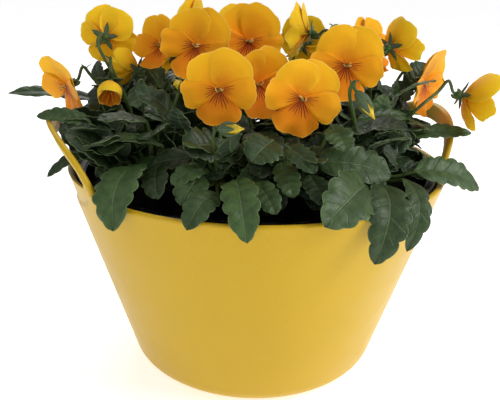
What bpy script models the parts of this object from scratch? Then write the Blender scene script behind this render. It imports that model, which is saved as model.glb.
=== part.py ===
"""A planted viola bowl: a tapered plastic planter with two raised ears that hold hand slots,
a black grow pot inside it, potting soil, and five viola plants with leaves, buds and blooms.

The origin is the centre of the planter's underside, +Z is up, and the ears lie along X.
Blender works in metres. Tables of leaves and blooms are in degrees and millimetres.
"""

import math
import random

import bpy
from mathutils import Matrix, Vector

MM = 0.001
GAP = 0.0003

# Planter
RIM_HEIGHT = 0.132
RIM_RADIUS = 0.120
WALL_FLARE = 0.311  # growth of the radius for each metre of height
WALL = 0.004
FLOOR = 0.004
FOOT_FILLET = 0.015
EAR_RISE = 0.033
EAR_HALF_ANGLE = math.radians(25)
SLOT_HALF_WIDTH = 0.045
SLOT_BOTTOM = RIM_HEIGHT + 0.0015
SLOT_RISE = 0.021
SLOT_CORNER = math.radians(12)

# Grow pot
POT_WALL = 0.002
POT_CLEARANCE = 0.0015
POT_LIP_TOP = RIM_HEIGHT - 0.0015
POT_LIP_THICKNESS = 0.0025
POT_LIP_WIDTH = 0.006
DRAIN_HOLES = 5
DRAIN_RADIUS = 0.004

# Soil and root balls
SOIL_EDGE_HEIGHT = 0.119
SOIL_MOUND = 0.003
PLANTS = 5
PLANT_RING = 0.060
FIRST_PLANT_ANGLE = -106
ROOT_RADIUS = 0.018
ROOT_DEPTH = 0.030
CROWN_RADIUS = 0.007

# Shoots
CELL_ANGLE = 36
CELL_SPLIT_RADIUS = 0.051
CELL_INSET = 0.00025
CELL_REACH = 0.200
CELL_FLOOR = 0.1225
CELL_TOP = 0.230
OUTER_HUB = (74, 139)  # radius and height, mm
INNER_HUB = (30, 143)
HUB_RADIUS = 0.0028
STEM_RADIUS = 0.0016
PETIOLE_HALF_WIDTH = 0.0008
LEAF_THICKNESS = 0.0010
LEAF_FOLD = 0.22
LEAF_LEAN = 0.8  # how far a leaf that grows sideways turns its face outward
BLADE_FOOT = 0.28  # width where the blade begins, as a share of its full width
BLADE_STATIONS = ((0.38, 1.0), (0.75, 0.82))  # place along the blade, share of the width
PETIOLE_STEPS = (-0.45, 0.05, 0.5, -0.25, 0.25)  # start heights on the hub, in hub radii
STALK_RADIUS = 0.0011
CALYX_RADIUS = 0.0034
BLOOM_THICKNESS = 0.0010
BLOOM_DEPTH = 0.007
BLOOM_MARGIN = 5  # mm that leaves keep from a bloom's rim
BLOOM_SPACE = (-0.014, 0.012)  # behind and in front of a bloom, where no leaf goes
BUD_SPACE = 0.014

# Leaves that show: base (angle, radius, height), tip (angle, radius, height), width, arch.
SHOWN_LEAVES = (
    (-152, 92, 146, -142, 127, 122, 30, 0.42),
    (176, 84, 160, 178, 106, 136, 20, 0.20),
    (-170, 88, 143, -170, 105, 133, 17, 0.20),
    (-147, 86, 146, -135, 109, 137, 17, 0.15),
    (-127, 86, 145, -128, 107, 135, 20, 0.20),
    (-127, 81, 148, -133, 101, 143, 14, 0.25),
    (-119, 98, 140, -123, 123, 129, 18, 0.40),
    (-114, 90, 146, -109, 126, 126, 22, 0.42),
    (-107, 92, 145, -102, 111, 135, 15, 0.18),
    (-96, 80, 161, -90, 100, 152, 14, 0.22),
    (-101, 78, 164, -109, 94, 157, 24, 0.20),
    (-84, 82, 153, -62, 103, 145, 25, 0.15),
    (-70, 98, 141, -92, 125, 133, 32, 0.30),
    (-66, 101, 141, -79, 127, 110, 26, 0.55),
    (-56, 105, 141, -67, 124, 110, 16, 0.55),
    (-46, 104, 141, -34, 139, 128, 24, 0.25),
    (-48, 94, 144, -58, 92, 156, 14, 0.15),
    (-44, 94, 142, -42, 111, 136, 15, 0.15),
    (-67, 92, 143, -69, 110, 137, 13, 0.15),
    (-26, 96, 154, -20, 136, 154, 14, 0.10),
    (-51, 70, 168, -31, 94, 167, 11, 0.15),
    (-77, 78, 170, -77, 94, 160, 18, 0.15),
    (-55, 84, 160, -58, 98, 167, 12, 0.15),
    (-39, 74, 166, -37, 80, 181, 17, 0.10),
    (-26, 84, 170, -28, 84, 187, 14, 0.10),
    (-88, 84, 146, -88, 106, 136, 16, 0.15),
    (-98, 78, 152, -96, 98, 139, 16, 0.15),
    (-124, 72, 158, -131, 93, 160, 26, 0.20),
    (-119, 70, 154, -116, 88, 168, 22, 0.15),
    (149, 110, 164, 158, 164, 170, 18, 0.12),
    (184, 104, 162, 181, 134, 167, 13, 0.20),
    (181, 98, 146, 182, 131, 131, 12, 0.20),
    (-164, 86, 158, -158, 108, 152, 22, 0.20),
    (-157, 74, 160, -146, 92, 163, 24, 0.20),
)

# Leaves that fill the rest of each outer cell, a and b of each plant in turn.
FILL_OUTER = (1, 1, 1, 3, 5, 5, 5, 5, 3, 3)
FILL_INNER = 3
FILL_SEED = 7
FILL_ARCH = 0.18
EAR_ZONE = 32  # degrees each side of an ear, where low leaves stay inside the wall
EAR_ZONE_REACH = 108
EAR_ZONE_TOP = 168

# Blooms: angle, radius, height, facing, pitch, roll, width, cup. Facing is a compass angle.
BLOOMS = (
    (154, 98, 208, 70, 5, 10, 38, 10),
    (166, 120, 179, 205, -22, 0, 44, 14),
    (177, 91, 182, -100, -35, 0, 26, 60),
    (159, 80, 188, 135, 5, 20, 32, 40),
    (158, 62, 204, 215, 20, 0, 38, 20),
    (-176, 40, 206, -120, 12, -10, 44, 8),
    (-126, 65, 188, -112, 2, 0, 42, 6),
    (173, 6, 208, -100, 10, 0, 44, 10),
    (-107, 39, 188, -72, 0, 0, 42, 14),
    (-86, 66, 184, -98, 0, -14, 43, 6),
    (30, 45, 211, 145, 5, 0, 42, 24),
    (-59, 66, 200, -110, 8, -6, 43, 8),
    (-10, 71, 205, -50, 25, 0, 38, 15),
    (-22, 83, 207, 15, 5, 0, 36, 25),
    (-10, 110, 182, -55, -12, 0, 46, 14),
    (-21, 130, 177, -12, -20, 0, 45, 34),
    (50, 86, 199, 50, 12, 0, 42, 12),
    (85, 70, 204, 95, 8, 8, 44, 10),
    (115, 92, 192, 110, 5, 0, 42, 12),
    (130, 52, 212, 140, 15, 0, 42, 12),
    (25, 100, 184, 15, 0, 0, 40, 18),
    (80, 106, 180, 80, -5, -8, 42, 14),
)
# The point that a flower's stalk bends through, where it doesn't rise straight: bloom, place.
STALK_BENDS = {16: (-33, 100, 174)}

# Buds: angle, radius, height, facing, pitch.
BUDS = (
    (-115, 96, 174, -60, 10),
    (-70, 93, 183, -50, -50),
    (-147, 69, 189, -100, 10),
    (-4, 50, 214, 60, -10),
    (100, 60, 182, 120, 30),
)
BUD_LENGTH = 0.017
BUD_RADIUS = 0.0036
BUD_HOOK = 0.75  # size of the hook in a bud's stalk, as a share of a bloom's


def polar(angle, radius, height):
    """A point from degrees and millimetres."""
    turn = math.radians(angle)
    return Vector((radius * math.cos(turn), radius * math.sin(turn), height)) * MM


def facing_of(angle, pitch):
    """The unit vector that a flower looks along."""
    flat = math.cos(math.radians(pitch))
    turn = math.radians(angle)
    return Vector((flat * math.cos(turn), flat * math.sin(turn), math.sin(math.radians(pitch))))


# ---------------------------------------------------------------- objects and materials


def clear_scene():
    for obj in list(bpy.data.objects):
        bpy.data.objects.remove(obj, do_unlink=True)


def material(name, colour, roughness):
    made = bpy.data.materials.new(name)
    made.use_nodes = True
    shader = made.node_tree.nodes["Principled BSDF"]
    shader.inputs["Base Color"].default_value = (*colour, 1)
    shader.inputs["Roughness"].default_value = roughness
    shader.inputs["Metallic"].default_value = 0
    return made


def mesh_object(name, points, faces, finish=None, collection=None):
    """An object from points and faces. With no finish it is a helper, which isn't rendered."""
    mesh = bpy.data.meshes.new(name)
    mesh.from_pydata([tuple(point) for point in points], [], faces)
    mesh.update()
    obj = bpy.data.objects.new(name, mesh)
    (collection or bpy.context.scene.collection).objects.link(obj)
    if finish is None:
        obj.hide_render = True
        obj.display_type = "WIRE"
    else:
        mesh.materials.append(finish)
        mesh.shade_smooth()
        mesh.set_sharp_from_angle(angle=math.radians(35))
    return obj


def helper_collection(name):
    made = bpy.data.collections.new(name)
    bpy.context.scene.collection.children.link(made)
    made.hide_render = True
    return made


def boolean(obj, operation, operand):
    change = obj.modifiers.new(operation.lower(), "BOOLEAN")
    change.operation = operation
    change.solver = "EXACT"
    if isinstance(operand, bpy.types.Collection):
        change.operand_type = "COLLECTION"
        change.collection = operand
    else:
        change.object = operand


# ---------------------------------------------------------------- basic closed shapes


def turned(name, columns, profile, finish=None, collection=None, centre=(0, 0)):
    """A closed turned body. profile(angle) lists (radius, height) from the bottom up and in.

    Its first and last points lie on the axis.
    """
    middle = [profile(angle)[1:-1] for angle in columns]
    start = profile(columns[0])[0]
    end = profile(columns[0])[-1]
    points = [(centre[0], centre[1], start[1])]
    for angle, rows in zip(columns, middle):
        for radius, height in rows:
            across = centre[0] + radius * math.cos(angle)
            along = centre[1] + radius * math.sin(angle)
            points.append((across, along, height))
    points.append((centre[0], centre[1], end[1]))
    rows = len(middle[0])
    count = len(columns)
    faces = []
    for i in range(count):
        here = 1 + i * rows
        after = 1 + (i + 1) % count * rows
        faces.append((0, after, here))
        for j in range(rows - 1):
            faces.append((here + j, after + j, after + j + 1, here + j + 1))
        faces.append((here + rows - 1, after + rows - 1, len(points) - 1))
    return mesh_object(name, points, faces, finish, collection)


def even_columns(count):
    return [math.tau * i / count for i in range(count)]


def prism(name, outline, direction, depth, finish=None, collection=None):
    """A closed prism. The outline runs counter-clockwise as seen from the tip of direction."""
    count = len(outline)
    push = Vector(direction) * depth
    points = [Vector(point) for point in outline]
    points += [point + push for point in points]
    faces = [tuple(reversed(range(count))), tuple(range(count, 2 * count))]
    for i in range(count):
        after = (i + 1) % count
        faces.append((i, after, count + after, count + i))
    return mesh_object(name, points, faces, finish, collection)


def tube(name, path, radii, sides, finish=None, collection=None):
    """A closed tube through the points, with its own radius at each of them."""
    points = []
    tangents = []
    for i in range(len(path)):
        before = path[max(i - 1, 0)]
        after = path[min(i + 1, len(path) - 1)]
        tangents.append((after - before).normalized())
    side = tangents[0].orthogonal().normalized()
    for centre, tangent, radius in zip(path, tangents, radii):
        side = (side - tangent * side.dot(tangent)).normalized()
        other = tangent.cross(side)
        for j in range(sides):
            turn = math.tau * j / sides
            points.append(centre + (side * math.cos(turn) + other * math.sin(turn)) * radius)
    faces = [tuple(reversed(range(sides)))]
    for i in range(len(path) - 1):
        for j in range(sides):
            k = (j + 1) % sides
            low = i * sides
            faces.append((low + j, low + k, low + sides + k, low + sides + j))
    top = (len(path) - 1) * sides
    faces.append(tuple(range(top, top + sides)))
    return mesh_object(name, points, faces, finish, collection)


# ---------------------------------------------------------------- planter


def outer_radius(height):
    return RIM_RADIUS + WALL_FLARE * (height - RIM_HEIGHT)


def inner_radius(height):
    return outer_radius(height) - WALL


def ear_rise(angle):
    """How far the wall stands above the rim: a half ellipse at each end of the X axis."""
    off = abs(math.remainder(angle, math.pi))
    if off >= EAR_HALF_ANGLE:
        return 0.0
    return EAR_RISE * math.sqrt(1 - (off / EAR_HALF_ANGLE) ** 2)


def planter_columns():
    """Angles round the planter, close together where the ears rise steeply."""
    quarter = [EAR_HALF_ANGLE * math.sin(math.radians(step)) for step in range(0, 91, 15)]
    plain = 9
    left = math.pi / 2 - EAR_HALF_ANGLE
    quarter += [EAR_HALF_ANGLE + left * i / plain for i in range(1, plain + 1)]
    half = quarter + [math.pi - angle for angle in reversed(quarter[:-1])]
    return half[:-1] + [math.pi + angle for angle in half[:-1]]


def planter_profile(angle):
    top = RIM_HEIGHT + ear_rise(angle)
    flare = math.atan(WALL_FLARE)
    fillet_radius = outer_radius(FOOT_FILLET) - FOOT_FILLET / math.cos(flare)
    rows = [(0, 0), (fillet_radius, 0)]
    steps = 3
    for i in range(1, steps + 1):
        turn = (math.pi / 2 - flare) * i / steps
        across = fillet_radius + FOOT_FILLET * math.sin(turn)
        rows.append((across, FOOT_FILLET * (1 - math.cos(turn))))
    rows.append((outer_radius(RIM_HEIGHT - WALL), RIM_HEIGHT - WALL))
    shoulder = WALL * 0.35
    rows.append((outer_radius(top - shoulder), top - shoulder))
    rows.append((outer_radius(top) - WALL * 0.3, top))
    rows.append((outer_radius(top) - WALL * 0.7, top))
    rows.append((inner_radius(top - shoulder), top - shoulder))
    rows.append((inner_radius(RIM_HEIGHT - WALL), RIM_HEIGHT - WALL))
    rows.append((inner_radius(FLOOR + 0.010), FLOOR + 0.010))
    rows.append((inner_radius(FLOOR) - 0.008, FLOOR))
    rows.append((0, FLOOR))
    return rows


def slot_outline(across):
    """The D of a hand slot in a plane across X: flat below, arched above."""
    turns = [SLOT_CORNER + (math.pi - 2 * SLOT_CORNER) * i / 14 for i in range(15)]
    corner = SLOT_HALF_WIDTH * math.cos(SLOT_CORNER) - 0.003
    outline = [(across, -corner, SLOT_BOTTOM), (across, corner, SLOT_BOTTOM)]
    for turn in turns:
        rise = SLOT_RISE * math.sin(turn)
        outline.append((across, SLOT_HALF_WIDTH * math.cos(turn), SLOT_BOTTOM + rise))
    return outline


def make_planter(finish):
    planter = turned("planter", planter_columns(), planter_profile, finish)
    reach = 0.070
    for side, start in (("left", -0.160), ("right", 0.090)):
        cutter = prism(f"cut_slot_{side}", slot_outline(start), (1, 0, 0), reach)
        boolean(planter, "DIFFERENCE", cutter)


# ---------------------------------------------------------------- grow pot and soil


def pot_outer(height):
    return inner_radius(height) - POT_CLEARANCE


def make_grow_pot(finish):
    foot = FLOOR + GAP
    lip_under = POT_LIP_TOP - POT_LIP_THICKNESS
    lip_outer = inner_radius(lip_under) - GAP
    lip_inner = lip_outer - POT_LIP_WIDTH
    inside = POT_WALL * 1.2
    rows = [
        (0, foot),
        (pot_outer(foot) - 0.010, foot),
        (pot_outer(foot + 0.012), foot + 0.012),
        (pot_outer(lip_under), lip_under),
        (lip_outer, lip_under),
        (lip_outer, POT_LIP_TOP - 0.001),
        (lip_outer - 0.001, POT_LIP_TOP),
        (lip_inner + 0.001, POT_LIP_TOP),
        (lip_inner, POT_LIP_TOP - 0.0015),
        (pot_outer(lip_under - 0.004) - POT_WALL, lip_under - 0.004),
        (pot_outer(foot + 0.014) - POT_WALL, foot + 0.014),
        (pot_outer(foot) - 0.011, foot + inside),
        (0, foot + inside),
    ]
    pot = turned("grow_pot", even_columns(36), lambda angle: rows, finish)
    for i in range(DRAIN_HOLES):
        centre = polar(FIRST_PLANT_ANGLE + 36 + i * 72, 45, -5)
        ring = []
        for angle in even_columns(10):
            across = DRAIN_RADIUS * math.cos(angle)
            along = DRAIN_RADIUS * math.sin(angle)
            ring.append(centre + Vector((across, along, 0)))
        boolean(pot, "DIFFERENCE", prism(f"cut_drain_{i + 1}", ring, (0, 0, 1), 0.030))


def soil_height(radius):
    return SOIL_EDGE_HEIGHT + SOIL_MOUND * (1 - (radius / 0.105) ** 2)


def make_soil(finish):
    floor = FLOOR + 2 * GAP + POT_WALL * 1.2
    low = floor + 0.014
    rows = [
        (0, floor),
        (pot_outer(FLOOR) - 0.014, floor),
        (pot_outer(low) - POT_WALL - 0.0012, low),
        (pot_outer(SOIL_EDGE_HEIGHT) - POT_WALL - 0.0008, SOIL_EDGE_HEIGHT),
        (0.092, soil_height(0.092)),
        (0.030, soil_height(0.030)),
        (0, soil_height(0)),
    ]
    soil = turned("potting_soil", even_columns(32), lambda angle: rows, finish)
    for i in range(PLANTS):
        centre = polar(FIRST_PLANT_ANGLE + i * 72, PLANT_RING / MM, 0)
        bottom = soil_height(PLANT_RING) - ROOT_DEPTH - GAP
        ring = []
        for angle in even_columns(10):
            across = (ROOT_RADIUS + 2 * GAP) * math.cos(angle)
            along = (ROOT_RADIUS + 2 * GAP) * math.sin(angle)
            ring.append((centre.x + across, centre.y + along, bottom))
        boolean(soil, "DIFFERENCE", prism(f"cut_root_{i + 1}", ring, (0, 0, 1), 0.060))


def crown_centre(plant):
    middle = polar(FIRST_PLANT_ANGLE + plant * 72, PLANT_RING / MM, 0)
    middle.z = soil_height(PLANT_RING) + 0.001
    return middle


def make_crown(plant, finish):
    """A root ball with the short woody crown that the shoots rise from."""
    middle = crown_centre(plant)
    top = soil_height(PLANT_RING)
    rows = [
        (0, top - ROOT_DEPTH),
        (ROOT_RADIUS * 0.85, top - ROOT_DEPTH),
        (ROOT_RADIUS, top - 0.003),
        (ROOT_RADIUS * 0.9, top),
        (CROWN_RADIUS, middle.z),
        (CROWN_RADIUS * 0.75, middle.z + CROWN_RADIUS * 0.66),
        (0, middle.z + CROWN_RADIUS),
    ]
    name = f"viola_{plant + 1}_crown"
    turned(name, even_columns(10), lambda angle: rows, finish, centre=(middle.x, middle.y))


# ---------------------------------------------------------------- leaves and shoots


def leaf_curve(base, tip, arch):
    """The blade's spine as a function from 0 to 1, and the blade's sideways vector."""
    chord = tip - base
    middle = base + tip
    outward = Vector((middle.x, middle.y, 0)).normalized()
    side = chord.cross(Vector((0, 0, 1)) + outward * LEAF_LEAN)
    if side.length < 0.3 * chord.length:
        side = Vector((-base.y, base.x, 0))
    side = (side - chord * side.dot(chord) / chord.length_squared).normalized()
    lift = side.cross(chord).normalized() * chord.length * arch
    knee = (base + tip) / 2 + lift

    def spine(s):
        return base * (1 - s) ** 2 + knee * (2 * s * (1 - s)) + tip * s * s

    return spine, side


def leaf_mesh(name, hub, row, step, collection):
    """One leaf with its petiole as a thin folded plate that starts inside the hub."""
    base = polar(*row[0:3])
    tip = polar(*row[3:6])
    spine, side = leaf_curve(base, tip, row[7])
    half = row[6] * MM / 2
    bend = (hub * 0.45 + base * 0.55) - Vector((0, 0, 0.004))
    start = hub + (bend - hub).normalized() * (HUB_RADIUS * 0.45)
    start.z += HUB_RADIUS * PETIOLE_STEPS[step % len(PETIOLE_STEPS)]
    stations = [(start, PETIOLE_HALF_WIDTH, 0), (bend, PETIOLE_HALF_WIDTH, 0)]
    stations.append((base, half * BLADE_FOOT, 0))
    stations += [(spine(s), half * width, half * width * LEAF_FOLD) for s, width in BLADE_STATIONS]
    places = [place for place, width, fold in stations] + [tip]
    skins = ([], [])
    for i, (place, width, fold) in enumerate(stations):
        along = places[i + 1] - places[max(i - 1, 0)]
        up = side.cross(along).normalized()
        across = along.cross(up).normalized()
        for skin, lift in zip(skins, (LEAF_THICKNESS / 2, -LEAF_THICKNESS / 2)):
            row_points = [place - across * width + up * (fold + lift)]
            if fold:
                row_points.append(place + up * lift)
            row_points.append(place + across * width + up * (fold + lift))
            skin.append(row_points)
    up = side.cross(tip - places[-2]).normalized()
    for skin, lift in zip(skins, (LEAF_THICKNESS / 2, -LEAF_THICKNESS / 2)):
        skin.append([tip + up * lift])
    return skins_object(name, skins, collection)


def skins_object(name, skins, collection):
    """A closed plate from its upper and under skins, which are lists of rows of points."""
    points = []
    numbers = []
    for skin in skins:
        numbered = []
        for row_points in skin:
            numbered.append(list(range(len(points), len(points) + len(row_points))))
            points += row_points
        numbers.append(numbered)
    faces = []
    upper, under = numbers
    for skin, turned_over in ((upper, False), (under, True)):
        for low, high in zip(skin, skin[1:]):
            for face in strip_faces(low, high):
                faces.append(tuple(reversed(face)) if turned_over else face)
    for low in range(len(upper) - 1):
        faces.append((upper[low][0], upper[low + 1][0], under[low + 1][0], under[low][0]))
        faces.append((under[low][-1], under[low + 1][-1], upper[low + 1][-1], upper[low][-1]))
    faces.append((upper[0][0], under[0][0], under[0][-1], upper[0][-1]))
    return mesh_object(name, points, faces, None, collection)


def strip_faces(low, high):
    """The faces between two rows of one, two or three points, anticlockwise from above."""
    if len(low) == len(high):
        return [(low[i], low[i + 1], high[i + 1], high[i]) for i in range(len(low) - 1)]
    if len(high) == 1:
        return [(low[i], low[i + 1], high[0]) for i in range(len(low) - 1)]
    return [(low[0], high[1], high[0]), (low[0], low[1], high[1]), (low[1], high[2], high[1])]


def cell_of(angle, radius):
    """The name of the cell that a point lies in: the outer ones a and b, the inner one c."""
    turned_angle = (angle - FIRST_PLANT_ANGLE + CELL_ANGLE) % 360
    plant = int(turned_angle // (2 * CELL_ANGLE))
    if radius * MM < CELL_SPLIT_RADIUS:
        return plant, "c"
    return plant, "a" if turned_angle % (2 * CELL_ANGLE) < CELL_ANGLE else "b"


def cell_centre(plant, part):
    middle = FIRST_PLANT_ANGLE + plant * 72
    if part == "c":
        return middle
    return middle + (-CELL_ANGLE / 2 if part == "a" else CELL_ANGLE / 2)


def hub_of(plant, part):
    radius, height = INNER_HUB if part == "c" else OUTER_HUB
    return polar(cell_centre(plant, part), radius, height)


def near_bloom(point):
    """Whether a leaf at this point would touch a bloom or a bud."""
    for angle, radius, height, facing, pitch, roll, width, cup in BLOOMS:
        away = point - polar(angle, radius, height)
        depth = away.dot(facing_of(facing, pitch))
        behind, before = BLOOM_SPACE
        if away.length < (width / 2 + BLOOM_MARGIN) * MM and behind < depth < before:
            return True
    for angle, radius, height, facing, pitch in BUDS:
        if (point - polar(angle, radius, height)).length < BUD_SPACE:
            return True
    return False


def fill_leaves():
    """Leaves by rule for the parts of the bowl that the shown leaves don't fill."""
    draw = random.Random(FILL_SEED)
    rows = []
    cells = [(plant, part) for plant in range(PLANTS) for part in "ab"]
    wanted = [(cell, count) for cell, count in zip(cells, FILL_OUTER)]
    wanted += [((plant, "c"), FILL_INNER) for plant in range(PLANTS)]
    for (plant, part), count in wanted:
        made = 0
        for attempt in range(60):
            if made == count:
                break
            row = fill_leaf(draw, plant, part, made)
            base = polar(*row[0:3])
            tip = polar(*row[3:6])
            if any(near_bloom(base.lerp(tip, s)) for s in (0.3, 0.65, 1.0)):
                continue
            rows.append(row)
            made += 1
    return rows


def fill_leaf(draw, plant, part, made):
    middle = cell_centre(plant, part)
    if part == "c":
        angle = middle + draw.uniform(-22, 22)
        length = draw.uniform(24, 32)
        rise = draw.uniform(25, 60)
        radius = draw.uniform(16, 24)
        height = draw.uniform(152, 164)
    else:
        angle = middle + draw.uniform(-9, 9)
        length = draw.uniform(26, 36)
        rise = draw.uniform(-20, 5) if made % 2 else draw.uniform(5, 40)
        radius = draw.uniform(76, 84)
        height = draw.uniform(148, 156) + 8 * (made % 3)
    swing = draw.uniform(-5, 5)
    tip_radius = radius + length * math.cos(math.radians(rise))
    tip_height = height + length * math.sin(math.radians(rise))
    beside_ear = abs(math.remainder(angle, 180)) < EAR_ZONE
    if beside_ear and tip_height < EAR_ZONE_TOP:
        tip_radius = min(tip_radius, EAR_ZONE_REACH)
    width = length * draw.uniform(0.5, 0.68)
    return (angle, radius, height, angle + swing, tip_radius, tip_height, width, FILL_ARCH)


def cell_outline(plant, part):
    """The sector that a cell covers, drawn in by the inset along its straight sides."""
    middle = cell_centre(plant, part)
    half = CELL_ANGLE if part == "c" else CELL_ANGLE / 2
    low, high = 0.003, CELL_SPLIT_RADIUS - CELL_INSET
    if part != "c":
        low, high = CELL_SPLIT_RADIUS + CELL_INSET, CELL_REACH
    start = math.radians(middle - half)
    end = math.radians(middle + half)
    outline = []
    steps = 4
    for radius, turns in ((low, range(steps, -1, -1)), (high, range(steps + 1))):
        inset = CELL_INSET / radius
        for i in turns:
            turn = start + inset + (end - start - 2 * inset) * i / steps
            outline.append((radius * math.cos(turn), radius * math.sin(turn), CELL_FLOOR))
    return outline


def stalk_path(hub, seat, facing, bend, size):
    """A flower stalk: up from the hub, over in a hook, and into the back of the flower."""
    flat = Vector((facing.x, facing.y, 0)).normalized()
    nod = max(0, -facing.z)
    hook = seat - facing * (0.007 * size) + Vector((0, 0, (0.003 + 0.007 * nod) * size))
    neck = hook - flat * (0.006 * size) - Vector((0, 0, 0.007))
    rise = hub.lerp(neck, 0.5)
    rise.z = hub.z + (neck.z - hub.z) * 0.6
    return [hub, bend or rise, neck, hook, seat - facing * 0.003, seat]


def make_shoot(plant, part, leaves, stalks, finish):
    """The leaves, stem and flower stalks of one shoot as a single grown piece."""
    label = f"viola_{plant + 1}_shoot_{part}"
    hub = hub_of(plant, part)
    below = hub - Vector((0, 0, HUB_RADIUS))
    above = hub + Vector((0, 0, HUB_RADIUS))
    ends = (HUB_RADIUS * 0.5, HUB_RADIUS, HUB_RADIUS * 0.5)
    shoot = tube(label, [below, hub, above], ends, 6, finish)
    blades = helper_collection(f"{label}_leaves")
    for i, row in enumerate(leaves):
        leaf_mesh(f"{label}_leaf_{i + 1}", hub, row, i, blades)
    boolean(shoot, "UNION", blades)
    cell = prism(f"{label}_cell", cell_outline(plant, part), (0, 0, 1), CELL_TOP - CELL_FLOOR)
    boolean(shoot, "INTERSECT", cell)
    stems = helper_collection(f"{label}_stems")
    crown = crown_centre(plant)
    reach = (hub - crown).normalized()
    start = crown + reach * (CROWN_RADIUS + 0.0005)
    tube(f"{label}_stem", [start, start.lerp(hub, 0.5), hub], [STEM_RADIUS] * 3, 6, None, stems)
    for i, (seat, facing, calyx, bend, size) in enumerate(stalks):
        radii = [STALK_RADIUS] * 5 + [calyx]
        path = stalk_path(hub, seat, facing, bend, size)
        tube(f"{label}_stalk_{i + 1}", path, radii, 5, None, stems)
    boolean(shoot, "UNION", stems)


# ---------------------------------------------------------------- blooms and buds


def flower_frame(place, facing, pitch, roll):
    """A matrix whose Z looks along the flower's face and whose Y is the flower's top."""
    out = facing_of(facing, pitch)
    right = Vector((0, 0, 1)).cross(out).normalized()
    up = out.cross(right)
    frame = Matrix((right, up, out)).transposed()
    return Matrix.Translation(place) @ (frame @ Matrix.Rotation(math.radians(roll), 3, "Z")).to_4x4()


def bloom_seat(row):
    """The point where a bloom's back meets its stalk, and the bloom's direction."""
    out = facing_of(row[3], row[4])
    return polar(*row[0:3]) - out * (BLOOM_DEPTH + GAP), out


def make_bloom(number, row, finish):
    """Five petals as one plate with five lobes, which narrows to a seat behind."""
    lobes = 5
    columns = 3 * lobes
    half = row[6] * MM / 2
    cup = math.radians(row[7])
    frame = flower_frame(polar(*row[0:3]), *row[3:6])
    points = [Vector((0, 0, -0.0015))]
    back_side = ((1.0, BLOOM_THICKNESS), (0.5, BLOOM_THICKNESS), (0.0, BLOOM_DEPTH))
    for share, back in ((0.5, 0), (1.0, 0)) + back_side:
        for i in range(columns):
            turn = math.tau * (i / columns) + math.radians(90 + 36)
            reach = half * share * (0.87 + 0.13 * math.cos(lobes * (turn - math.radians(126))))
            if share == 0:
                reach = 0.0022
                flat, lift = reach, -back
            else:
                flat = reach * math.cos(cup * share)
                lift = reach * math.sin(cup * share) - back
            points.append(Vector((flat * math.cos(turn), flat * math.sin(turn), lift)))
    points.append(Vector((0, 0, -BLOOM_DEPTH)))
    faces = []
    for i in range(columns):
        k = (i + 1) % columns
        faces.append((0, 1 + i, 1 + k))
        for ring in range(4):
            low = 1 + ring * columns
            faces.append((low + i, low + columns + i, low + columns + k, low + k))
        low = 1 + 4 * columns
        faces.append((low + i, len(points) - 1, low + k))
    bloom = mesh_object(f"bloom_{number:02d}", points, faces, finish)
    bloom.matrix_world = frame


def make_bud(number, row, finish):
    """A closed bud: a pointed oval on its stalk."""
    out = facing_of(row[3], row[4])
    base = polar(*row[0:3]) - out * (BUD_LENGTH / 2)
    shares = ((0, 0.45), (0.25, 0.95), (0.55, 1.0), (0.85, 0.5), (1.0, 0.12))
    path = [base + out * (BUD_LENGTH * along) for along, wide in shares]
    tube(f"bud_{number}", path, [BUD_RADIUS * wide for along, wide in shares], 7, finish)


def bud_seat(row):
    out = facing_of(row[3], row[4])
    return polar(*row[0:3]) - out * (BUD_LENGTH / 2 + GAP), out


def plant_everything(green, root, petal, bud_green):
    leaves = {}
    stalks = {}
    for row in list(SHOWN_LEAVES) + fill_leaves():
        chosen = cell_of(row[0], row[1])
        leaves.setdefault(chosen, []).append(row)
    for number, row in enumerate(BLOOMS, 1):
        bend = STALK_BENDS.get(number)
        stalk = (*bloom_seat(row), CALYX_RADIUS, polar(*bend) if bend else None, 1)
        stalks.setdefault(cell_of(row[0], row[1]), []).append(stalk)
    for row in BUDS:
        stalk = (*bud_seat(row), BUD_RADIUS * 0.6, None, BUD_HOOK)
        stalks.setdefault(cell_of(row[0], row[1]), []).append(stalk)
    for plant in range(PLANTS):
        make_crown(plant, root)
        for part in "abc":
            cell = (plant, part)
            make_shoot(plant, part, leaves.get(cell, []), stalks.get(cell, []), green)
    for number, row in enumerate(BLOOMS, 1):
        make_bloom(number, row, petal)
    for number, row in enumerate(BUDS, 1):
        make_bud(number, row, bud_green)


clear_scene()
make_planter(material("yellow_plastic", (0.66, 0.42, 0.04), 0.38))
make_grow_pot(material("black_plastic", (0.008, 0.008, 0.012), 0.2))
make_soil(material("soil", (0.020, 0.014, 0.010), 0.95))
plant_everything(
    material("leaf_green", (0.045, 0.085, 0.03), 0.5),
    material("root_brown", (0.10, 0.07, 0.04), 0.9),
    material("petal_orange", (0.75, 0.28, 0.02), 0.6),
    material("bud_yellow", (0.70, 0.50, 0.03), 0.6),
)
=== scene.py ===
"""The looks of the planted viola bowl: satin yellow plastic, a glossy black grow pot, dark soil,
and violas with crenate leaves, hooked stalks, buds and golden-orange blooms.

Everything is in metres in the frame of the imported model. The tables of leaves, blooms and buds
are the model's own, in degrees and millimetres, so that each piece lies where its solid does.
"""

import math
import random

import bpy
from mathutils import Matrix, Vector, noise


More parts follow.
